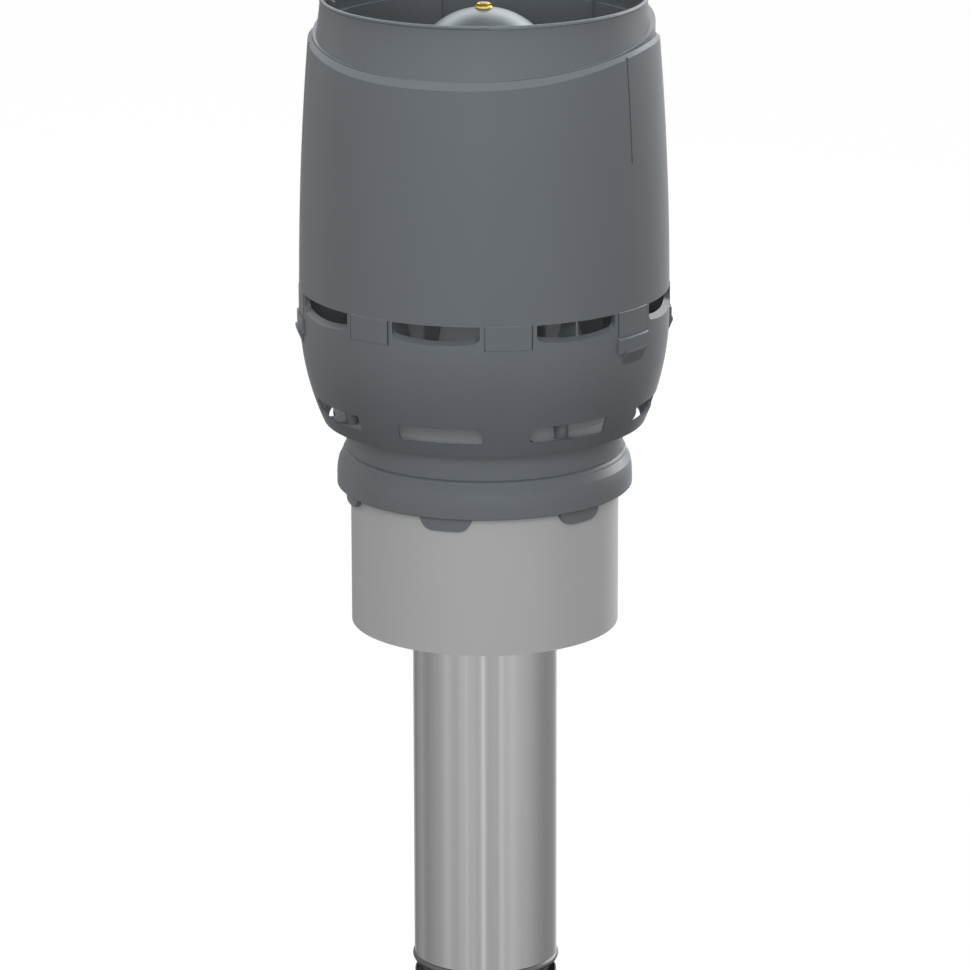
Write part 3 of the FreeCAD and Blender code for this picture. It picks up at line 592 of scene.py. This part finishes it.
def grown_mesh(name, seed_mesh, tree, values):
    """Runs a geometry tree on a seed mesh and keeps the result as a plain mesh object."""
    carrier = bpy.data.objects.new(name + "_seed", seed_mesh)
    bpy.context.scene.collection.objects.link(carrier)
    modifier = carrier.modifiers.new("grow", "NODES")
    modifier.node_group = tree
    for item in tree.interface.items_tree:
        if item.item_type == "SOCKET" and item.in_out == "INPUT" and item.name in values:
            modifier[item.identifier] = values[item.name]
    bpy.context.view_layer.update()
    evaluated = carrier.evaluated_get(bpy.context.evaluated_depsgraph_get())
    mesh = bpy.data.meshes.new_from_object(evaluated)
    carrier.modifiers.clear()
    bpy.data.objects.remove(carrier)
    if not mesh.polygons:
        raise RuntimeError(f"{name} came out empty")
    mesh.name = name
    mesh.polygons.foreach_set("use_smooth", [True] * len(mesh.polygons))
    mesh.set_sharp_from_angle(angle=SHARP_ANGLE)
    made = bpy.data.objects.new(name, mesh)
    bpy.context.scene.collection.objects.link(made)
    return made


def points_with_aims(name, places):
    """A mesh of loose points, each with the way that its screw goes in."""
    mesh = bpy.data.meshes.new(name)
    mesh.from_pydata([place for place, _ in places], [], [])
    aims = mesh.attributes.new("aim", "FLOAT_VECTOR", "POINT")
    for index, (_, aim) in enumerate(places):
        aims.data[index].vector = aim
    return mesh


def ways_out(sizes):
    """Level directions from the axis to each screw of a set."""
    step = 360.0 / sizes["count"]
    angles = [math.radians(sizes["first_angle"] + step * index) for index in range(sizes["count"])]
    return [Vector((math.cos(angle), math.sin(angle), 0.0)) for angle in angles]


def set_of_screws(name, node, places, sizes, length, pitch, finish):
    """Models a set of screws as one mesh, which takes the place of the CAD's plain ones."""
    tree = screw_tree(threaded_shank_tree())
    values = {
        "Shank Length": length,
        "Shank Radius": sizes["radius"],
        "Head Radius": sizes["head_radius"],
        "Head Height": sizes["head_height"],
        "Pitch": pitch,
        "Thread Depth": sizes["radius"] * 0.22,
        "Recess Width": sizes["head_radius"] * 1.1,
        "Recess Slot": sizes["head_radius"] * 0.26,
        "Recess Depth": sizes["head_height"] * 0.55,
        "Finish": finish,
    }
    screws = grown_mesh(name, points_with_aims(name + "_points", places), tree, values)
    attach(screws, "root")
    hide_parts(node)


class VENTPIPE_PG_hood(bpy.types.PropertyGroup):
    """Grey plastic of the hood and the collar"""

    colour: bpy.props.FloatVectorProperty(
        name="Colour",
        description="Grey of the moulded plastic",
        subtype="COLOR",
        size=3,
        min=0.0,
        max=1.0,
        default=paint(100, 105, 109),
    )
    # Painted light: a paler grey painted on the base inside the bowl and on the dome's carrier, where
    # the bowl shades them.
    painted_light_colour: bpy.props.FloatVectorProperty(
        name="Painted light",
        description="Paler grey of the base inside the bowl and of the dome's carrier",
        subtype="COLOR",
        size=3,
        min=0.0,
        max=1.0,
        default=paint(120, 124, 127),
    )
    roughness: bpy.props.FloatProperty(
        name="Roughness",
        description="How dull the plastic is",
        subtype="FACTOR",
        min=0.05,
        max=1.0,
        default=0.38,
    )
    grain_size: bpy.props.FloatProperty(
        name="Grain size",
        description="Width of one grain of the mould's texture",
        unit="LENGTH",
        default=0.0007,
    )
    grain_depth: bpy.props.FloatProperty(
        name="Grain depth",
        description="Depth of the mould's texture",
        unit="LENGTH",
        default=0.00003,
    )
    cloud_scale: bpy.props.FloatProperty(
        name="Cloud scale",
        description="How many soft patches of grey there are in a metre",
        default=14.0,
    )
    flow_scale: bpy.props.FloatProperty(
        name="Flow scale",
        description="How many soft upright bands there are round the hood",
        default=3.0,
    )


class VENTPIPE_PG_pipe(bpy.types.PropertyGroup):
    """Light grey outer pipe"""

    colour: bpy.props.FloatVectorProperty(
        name="Colour",
        description="Light grey of the extruded plastic",
        subtype="COLOR",
        size=3,
        min=0.0,
        max=1.0,
        default=paint(181, 181, 181),
    )
    roughness: bpy.props.FloatProperty(
        name="Roughness",
        description="How dull the pipe is",
        subtype="FACTOR",
        min=0.05,
        max=1.0,
        default=0.42,
    )
    line_scale: bpy.props.FloatProperty(
        name="Line scale",
        description="How close together the faint lines along the pipe are",
        default=60.0,
    )
    line_depth: bpy.props.FloatProperty(
        name="Line depth",
        description="Depth of the lines along the pipe",
        unit="LENGTH",
        default=0.00002,
    )


class VENTPIPE_PG_steel(bpy.types.PropertyGroup):
    """Steel duct and its coupling"""

    colour: bpy.props.FloatVectorProperty(
        name="Colour",
        description="Colour of the zinc-coated sheet",
        subtype="COLOR",
        size=3,
        min=0.0,
        max=1.0,
        default=paint(163, 163, 163),
    )
    roughness: bpy.props.FloatProperty(
        name="Roughness",
        description="How dull the sheet is",
        subtype="FACTOR",
        min=0.05,
        max=1.0,
        default=0.11,
    )
    coupling_colour: bpy.props.FloatVectorProperty(
        name="Coupling",
        description="Colour of the duller sheet of the coupling",
        subtype="COLOR",
        size=3,
        min=0.0,
        max=1.0,
        default=paint(112, 112, 112),
    )
    coupling_roughness: bpy.props.FloatProperty(
        name="Coupling roughness",
        description="How dull the coupling is",
        subtype="FACTOR",
        min=0.05,
        max=1.0,
        default=0.42,
    )
    streak_scale: bpy.props.FloatProperty(
        name="Streak scale",
        description="How close together the broad streaks are",
        default=7.0,
    )
    streak_contrast: bpy.props.FloatProperty(
        name="Streak contrast",
        description="Difference between light and dark streaks",
        default=0.24,
    )
    streak_depth: bpy.props.FloatProperty(
        name="Streak depth",
        description="Depth of the fine streaks",
        unit="LENGTH",
        default=0.000012,
    )


class VENTPIPE_PG_small_parts(bpy.types.PropertyGroup):
    """Dome, nut, screws and rod"""

    dome_colour: bpy.props.FloatVectorProperty(
        name="Dome",
        description="Satin aluminium",
        subtype="COLOR",
        size=3,
        default=paint(143, 150, 154),
    )
    dome_roughness: bpy.props.FloatProperty(
        name="Dome roughness",
        description="How dull the dome is",
        subtype="FACTOR",
        min=0.05,
        max=1.0,
        default=0.42,
    )
    brass_colour: bpy.props.FloatVectorProperty(
        name="Brass",
        description="Bright brass",
        subtype="COLOR",
        size=3,
        default=paint(250, 216, 102),
    )
    bloom_colour: bpy.props.FloatVectorProperty(
        name="Brass bloom",
        description="Browner patches on the brass",
        subtype="COLOR",
        size=3,
        default=paint(234, 194, 84),
    )
    zinc_colour: bpy.props.FloatVectorProperty(
        name="Zinc",
        description="Plating of the nuts, the washer, the rod and the screws",
        subtype="COLOR",
        size=3,
        default=paint(176, 180, 186),
    )
    rod_pitch: bpy.props.FloatProperty(
        name="Rod pitch",
        description="Pitch of the rod's thread",
        unit="LENGTH",
        default=0.001,
    )
    rod_thread_depth: bpy.props.FloatProperty(
        name="Rod thread depth",
        description="Depth of the rod's thread",
        unit="LENGTH",
        default=0.00055,
    )
    screw_pitch: bpy.props.FloatProperty(
        name="Screw pitch",
        description="Pitch of the hood's screws",
        unit="LENGTH",
        default=0.0016,
    )
    carrier_screw_pitch: bpy.props.FloatProperty(
        name="Carrier screw pitch",
        description="Pitch of the carrier's screws",
        unit="LENGTH",
        default=0.0012,
    )


class VENTPIPE_PG_soft_parts(bpy.types.PropertyGroup):
    """Rubber and foam"""

    rubber_colour: bpy.props.FloatVectorProperty(
        name="Rubber",
        description="Seals of the coupling, the collar and the duct",
        subtype="COLOR",
        size=3,
        default=paint(92, 92, 93),
    )
    foam_colour: bpy.props.FloatVectorProperty(
        name="Foam",
        description="Foam between the pipes",
        subtype="COLOR",
        size=3,
        default=paint(232, 231, 224),
    )
    aged_colour: bpy.props.FloatVectorProperty(
        name="Aged foam",
        description="Yellower patches in the foam",
        subtype="COLOR",
        size=3,
        default=paint(216, 210, 190),
    )
    cell_size: bpy.props.FloatProperty(
        name="Cell size",
        description="Width of one cell of the foam",
        unit="LENGTH",
        default=0.0022,
    )


class VENTPIPE_PG_studio(bpy.types.PropertyGroup):
    """Camera, floor and light"""

    camera_distance: bpy.props.FloatProperty(
        name="Camera distance",
        description="From the camera to the point it looks at",
        unit="LENGTH",
        default=4.665,
    )
    camera_pitch: bpy.props.FloatProperty(
        name="Camera pitch",
        description="How far the camera looks down",
        subtype="ANGLE",
        default=math.radians(15.84),
    )
    camera_roll: bpy.props.FloatProperty(
        name="Camera roll",
        description="Turn of the camera about its line of sight",
        subtype="ANGLE",
        default=math.radians(-0.113),
    )
    aim: bpy.props.FloatVectorProperty(
        name="Aim",
        description="Point that the camera looks at",
        subtype="TRANSLATION",
        size=3,
        default=(0.00024, 0.0, 0.461),
    )
    focal_length: bpy.props.FloatProperty(
        name="Focal length",
        description="Focal length of the camera in millimetres",
        default=205.8,
    )
    floor_width: bpy.props.FloatProperty(
        name="Floor width",
        description="Width of the pale floor",
        unit="LENGTH",
        default=24.0,
    )
    floor_colour: bpy.props.FloatVectorProperty(
        name="Floor",
        description="Colour of the floor",
        subtype="COLOR",
        size=3,
        default=paint(112, 112, 112),
    )
    sky_strength: bpy.props.FloatProperty(
        name="Sky strength",
        description="Even light from all round",
        default=0.26,
    )
    room_front: bpy.props.FloatProperty(
        name="Room in front",
        description="Brightness of the mirrored room on the camera's side",
        default=1.0,
    )
    room_side: bpy.props.FloatProperty(
        name="Room behind",
        description="Brightness of the mirrored room at the sides and behind",
        default=0.55,
    )
    room_back: bpy.props.FloatProperty(
        name="Room's bright wall",
        description="What the mirrored wall behind and above adds",
        default=2.1,
    )
    room_window: bpy.props.FloatProperty(
        name="Room's window",
        description="What the mirrored window at the right and behind adds",
        default=5.0,
    )
    room_ground: bpy.props.FloatProperty(
        name="Room's ground",
        description="How bright the mirrored ground is beside the walls",
        default=0.15,
    )
    room_zenith: bpy.props.FloatProperty(
        name="Room's ceiling",
        description="How bright the mirrored ceiling is beside the walls",
        default=0.55,
    )
    key_strength: bpy.props.FloatProperty(
        name="Key light",
        description="Power of the wide light in front, in watts",
        default=66.0,
    )
    fill_strength: bpy.props.FloatProperty(
        name="Fill light",
        description="Power of the light beside the camera, in watts",
        default=20.0,
    )
    top_strength: bpy.props.FloatProperty(
        name="Top light",
        description="Power of the light over the hood, in watts",
        default=120.0,
    )
    side_strength: bpy.props.FloatProperty(
        name="Side light",
        description="Power of the light behind the hood at the right, in watts",
        default=30.0,
    )
    rim_strength: bpy.props.FloatProperty(
        name="Rim light",
        description="Power of the light that brightens the right outline, in watts",
        default=105.0,
    )


class VENTPIPE_OT_finish_hood(bpy.types.Operator):
    """Gives the hood, its base, the carrier and the collar their moulded plastic"""

    bl_idname = "ventpipe.finish_hood"
    bl_label = "Hood and collar"

    def execute(self, context):
        look = context.scene.ventpipe_hood
        dress(HOOD_NODES, moulded_plastic("moulded_grey_plastic", look, look.colour))
        # The base and the carrier get a paler grey above the bowl's lower edge: painted light where
        # the bowl shades them.
        painted_light = look.painted_light_colour
        dress(BASE_NODES, moulded_plastic("moulded_plastic_with_painted_light", look, look.colour, painted_light))
        return {"FINISHED"}


class VENTPIPE_OT_finish_pipe(bpy.types.Operator):
    """Gives the outer pipe and its closing rings their extruded plastic"""

    bl_idname = "ventpipe.finish_pipe"
    bl_label = "Outer pipe"

    def execute(self, context):
        dress(PIPE_NODES, extruded_plastic(context.scene.ventpipe_pipe))
        return {"FINISHED"}


class VENTPIPE_OT_finish_duct(bpy.types.Operator):
    """Gives the duct and its coupling their zinc-coated sheet"""

    bl_idname = "ventpipe.finish_duct"
    bl_label = "Steel duct"

    def execute(self, context):
        look = context.scene.ventpipe_steel
        dress(STEEL_NODES, rolled_steel("rolled_zinc_steel", look, look.colour, look.roughness))
        colour, roughness = look.coupling_colour, look.coupling_roughness
        dress(COUPLING_NODES, rolled_steel("dull_zinc_steel", look, colour, roughness))
        return {"FINISHED"}


class VENTPIPE_OT_finish_dome(bpy.types.Operator):
    """Gives the rain dome its spun aluminium"""

    bl_idname = "ventpipe.finish_dome"
    bl_label = "Rain dome"

    def execute(self, context):
        dress(DOME_NODES, spun_aluminium(context.scene.ventpipe_small_parts))
        return {"FINISHED"}


class VENTPIPE_OT_finish_nuts(bpy.types.Operator):
    """Gives the dome's nut its brass, and the other nuts and the washer their plating"""

    bl_idname = "ventpipe.finish_nuts"
    bl_label = "Nuts and washer"

    def execute(self, context):
        look = context.scene.ventpipe_small_parts
        dress(BRASS_NODES, yellow_brass(look))
        dress(ZINC_NODES, zinc_plating(look))
        return {"FINISHED"}


class VENTPIPE_OT_finish_seals(bpy.types.Operator):
    """Gives the seals their rubber"""

    bl_idname = "ventpipe.finish_seals"
    bl_label = "Rubber seals"

    def execute(self, context):
        dress(RUBBER_NODES, seal_rubber(context.scene.ventpipe_soft_parts))
        return {"FINISHED"}


class VENTPIPE_OT_finish_foam(bpy.types.Operator):
    """Gives the two insulation pieces their foam"""

    bl_idname = "ventpipe.finish_foam"
    bl_label = "Foam insulation"

    def execute(self, context):
        dress(FOAM_NODES, white_foam(context.scene.ventpipe_soft_parts))
        return {"FINISHED"}


class VENTPIPE_OT_hood_screws(bpy.types.Operator):
    """Models the four screws that hold the bowl to the base, heads down"""

    bl_idname = "ventpipe.hood_screws"
    bl_label = "Hood screws"

    def execute(self, context):
        look = context.scene.ventpipe_small_parts
        low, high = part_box("hood_screws")
        sizes = HOOD_SCREWS
        level = Vector((0.0, 0.0, low.z + sizes["head_height"]))
        up = (0.0, 0.0, 1.0)
        places = [(tuple(sizes["circle"] * out + level), up) for out in ways_out(sizes)]
        length = high.z - level.z
        finish = zinc_plating(look)
        set_of_screws("hood_screw_set", "hood_screws", places, sizes, length, look.screw_pitch, finish)
        return {"FINISHED"}


class VENTPIPE_OT_carrier_screws(bpy.types.Operator):
    """Models the three screws that hold the dome's carrier in the nozzle"""

    bl_idname = "ventpipe.carrier_screws"
    bl_label = "Carrier screws"

    def execute(self, context):
        look = context.scene.ventpipe_small_parts
        low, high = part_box("carrier_screws")
        sizes = CARRIER_SCREWS
        level = Vector((0.0, 0.0, (low.z + high.z) / 2))
        places = [(tuple(sizes["circle"] * out + level), tuple(-out)) for out in ways_out(sizes)]
        length = sizes["circle"] - sizes["tips"]
        pitch = look.carrier_screw_pitch
        finish = zinc_plating(look)
        set_of_screws("carrier_screw_set", "carrier_screws", places, sizes, length, pitch, finish)
        return {"FINISHED"}


class VENTPIPE_OT_threaded_rod(bpy.types.Operator):
    """Models the threaded rod that carries the dome"""

    bl_idname = "ventpipe.threaded_rod"
    bl_label = "Threaded rod"

    def execute(self, context):
        look = context.scene.ventpipe_small_parts
        low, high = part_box("dome_stud")
        values = {
            "Low End": low.z,
            "Length": high.z - low.z,
            "Radius": ROD_RADIUS,
            "Pitch": look.rod_pitch,
            "Thread Depth": look.rod_thread_depth,
            "Chamfer": ROD_CHAMFER,
            "Finish": zinc_plating(look),
        }
        seed = bpy.data.meshes.new("rod_seed")
        rod = grown_mesh("threaded_dome_rod", seed, rod_tree(threaded_shank_tree()), values)
        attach(rod, "root")
        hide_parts("dome_stud")
        return {"FINISHED"}


def ray_kinds(recipe):
    """Two signals: 1 for a ray from the camera or through glass, and 1 for a mirrored ray."""
    path = recipe.raw("ShaderNodeLightPath")
    names = ("Is Camera Ray", "Is Transmission Ray", "Is Glossy Ray")
    camera, glass, mirror = (Signal(recipe, path.outputs[name]) for name in names)
    return recipe.math("MAXIMUM", camera, glass), mirror


def pale_floor(look):
    """A floor that shows white, keeps the object's shadow as a faint grey, and is clear from below."""
    mesh = bpy.data.meshes.new("floor")
    form = bmesh.new()
    bmesh.ops.create_grid(form, x_segments=1, y_segments=1, size=look.floor_width / 2)
    form.to_mesh(mesh)
    form.free()
    floor = bpy.data.objects.new("floor", mesh)
    bpy.context.scene.collection.objects.link(floor)
    material, recipe = new_finish("pale_floor")
    matt = recipe.node("ShaderNodeBsdfDiffuse", None, {"Color": look.floor_colour})
    glow = recipe.node("ShaderNodeEmission", None, {"Color": (1.0, 1.0, 1.0), "Strength": FLOOR_GLOW})
    share = ray_kinds(recipe)[0] * FLOOR_GLOW_SHARE
    topside = recipe.node("ShaderNodeMixShader", None, {0: share, 1: matt, 2: glow})
    clear = recipe.node("ShaderNodeBsdfTransparent", None, {"Color": (1.0, 1.0, 1.0)})
    underneath = recipe.node("ShaderNodeNewGeometry", output="Backfacing")
    mixed = recipe.node("ShaderNodeMixShader", None, {0: underneath, 1: topside, 2: clear})
    recipe.raw("ShaderNodeOutputMaterial", None, {"Surface": mixed})
    mesh.materials.append(material)
    floor.visible_glossy = False


def studio_lamp(name, place, size, power):
    """A soft rectangular light that nothing mirrors."""
    data = bpy.data.lights.new(name, "AREA")
    data.shape = "RECTANGLE"
    data.size, data.size_y = size
    data.energy = power
    lamp = bpy.data.objects.new(name, data)
    bpy.context.scene.collection.objects.link(lamp)
    lamp.location = place
    lamp.rotation_mode = "QUATERNION"
    lamp.rotation_quaternion = (Vector(LAMP_TARGET) - Vector(place)).to_track_quat("-Z", "Y")
    lamp.visible_glossy = False


def card(recipe, bearing, middle, width):
    """A soft upright strip: 1 in its middle, and nought well beside it."""
    side = (bearing - middle) / width
    return recipe.math("EXPONENT", -(side * side))


def studio_world(look):
    """White to the camera, even light for the surfaces, and a room with cards for mirrored rays."""
    world = bpy.data.worlds.new("studio")
    world.use_nodes = True
    recipe = Recipe(world.node_tree)
    seen, mirror = ray_kinds(recipe)
    x, y, z = recipe.split(recipe.node("ShaderNodeTexCoord", output="Generated"))
    bearing = recipe.math("ARCTAN2", x, -y) * math.degrees(1.0)
    height = recipe.math("ARCSINE", z) * math.degrees(1.0)
    aside = recipe.math("ABSOLUTE", bearing)
    room = recipe.eased(aside, *ROOM_SIDES, look.room_front, look.room_side)
    for middle, width, strength in CARDS:
        room = room + card(recipe, bearing, middle, width) * strength
    behind = recipe.eased(aside, *WALL_BEARINGS, 0.0, 1.0)
    wall = recipe.eased(height, *WALL_FOOT, 0.0, 1.0) * recipe.eased(height, *WALL_TOP, 1.0, 0.0)
    room = room + behind * wall * look.room_back
    pane = recipe.eased(height, *WINDOW_FOOT, 0.0, 1.0) * recipe.eased(height, *WINDOW_TOP, 1.0, 0.0)
    room = room + card(recipe, bearing, WINDOW_BEARING, WINDOW_WIDTH) * pane * look.room_window
    room = room * recipe.eased(height, *CEILING, 1.0, look.room_zenith)
    room = room * recipe.eased(height, *GROUND, look.room_ground, 1.0)
    strength = seen + (1.0 - seen) * (mirror * room + (1.0 - mirror) * look.sky_strength)
    sky = recipe.node("ShaderNodeBackground", None, {"Color": (1.0, 1.0, 1.0), "Strength": strength})
    recipe.raw("ShaderNodeOutputWorld", None, {"Surface": sky})
    bpy.context.scene.world = world


class VENTPIPE_OT_studio(bpy.types.Operator):
    """Adds the floor, the light and the camera at the photograph's viewing angle"""

    bl_idname = "ventpipe.studio"
    bl_label = "Studio"

    def execute(self, context):
        look = context.scene.ventpipe_studio
        pale_floor(look)
        studio_world(look)
        left_strength = look.side_strength * LEFT_LIGHT_SHARE
        studio_lamp("key_light", (-0.3, -3.6, 1.9), (1.4, 1.4), look.key_strength)
        studio_lamp("fill_light", (0.5, -4.3, 1.1), (1.0, 1.0), look.fill_strength)
        studio_lamp("top_light", (0.0, -0.1, 4.6), (0.8, 0.8), look.top_strength)
        studio_lamp("left_light", (-2.3, 1.7, 1.2), (0.8, 1.6), left_strength)
        studio_lamp("right_light", (2.3, 1.7, 1.2), (0.8, 1.6), look.side_strength)
        studio_lamp("rim_light", (1.45, 2.51, 1.2), (0.5, 1.6), look.rim_strength)
        data = bpy.data.cameras.new("photo_camera")
        data.lens = look.focal_length
        data.sensor_width = 36.0
        data.clip_end = 100.0
        camera = bpy.data.objects.new("photo_camera", data)
        context.scene.collection.objects.link(camera)
        pitch = look.camera_pitch
        back = Vector((0.0, -math.cos(pitch), math.sin(pitch)))
        camera.location = Vector(look.aim) + back * look.camera_distance
        camera.rotation_mode = "QUATERNION"
        roll = Quaternion((0.0, 0.0, 1.0), look.camera_roll)
        camera.rotation_quaternion = (-back).to_track_quat("-Z", "Y") @ roll
        context.scene.camera = camera
        context.scene.view_settings.view_transform = "Standard"
        return {"FINISHED"}


class VENTPIPE_PT_panel(bpy.types.Panel):
    """Lists the steps that finish the ventilation pipe"""

    bl_idname = "VENTPIPE_PT_panel"
    bl_label = "Ventilation pipe"
    bl_space_type = "VIEW_3D"
    bl_region_type = "UI"
    bl_category = "Ventilation pipe"

    def draw(self, context):
        layout = self.layout
        for operator in OPERATORS:
            layout.operator(operator.bl_idname, text=operator.bl_label)
        for label, group in SETTINGS:
            box = layout.box()
            box.label(text=group.__doc__)
            settings = getattr(context.scene, label)
            for name in group.__annotations__:
                box.prop(settings, name)


SETTINGS = (
    ("ventpipe_hood", VENTPIPE_PG_hood),
    ("ventpipe_pipe", VENTPIPE_PG_pipe),
    ("ventpipe_steel", VENTPIPE_PG_steel),
    ("ventpipe_small_parts", VENTPIPE_PG_small_parts),
    ("ventpipe_soft_parts", VENTPIPE_PG_soft_parts),
    ("ventpipe_studio", VENTPIPE_PG_studio),
)
OPERATORS = (
    VENTPIPE_OT_finish_hood,
    VENTPIPE_OT_finish_pipe,
    VENTPIPE_OT_finish_duct,
    VENTPIPE_OT_finish_dome,
    VENTPIPE_OT_finish_nuts,
    VENTPIPE_OT_finish_seals,
    VENTPIPE_OT_finish_foam,
    VENTPIPE_OT_hood_screws,
    VENTPIPE_OT_carrier_screws,
    VENTPIPE_OT_threaded_rod,
    VENTPIPE_OT_studio,
)


def register():
    for label, group in SETTINGS:
        bpy.utils.register_class(group)
        setattr(bpy.types.Scene, label, bpy.props.PointerProperty(type=group))
    for operator in OPERATORS:
        bpy.utils.register_class(operator)
    bpy.utils.register_class(VENTPIPE_PT_panel)


def unregister():
    bpy.utils.unregister_class(VENTPIPE_PT_panel)
    for operator in reversed(OPERATORS):
        bpy.utils.unregister_class(operator)
    for label, group in reversed(SETTINGS):
        delattr(bpy.types.Scene, label)
        bpy.utils.unregister_class(group)


def main():
    register()
    bpy.ops.ventpipe.finish_hood()
    bpy.ops.ventpipe.finish_pipe()
    bpy.ops.ventpipe.finish_duct()
    bpy.ops.ventpipe.finish_dome()
    bpy.ops.ventpipe.finish_nuts()
    bpy.ops.ventpipe.finish_seals()
    bpy.ops.ventpipe.finish_foam()
    bpy.ops.ventpipe.hood_screws()
    bpy.ops.ventpipe.carrier_screws()
    bpy.ops.ventpipe.threaded_rod()
    bpy.ops.ventpipe.studio()


if __name__ == "__main__":
    main()
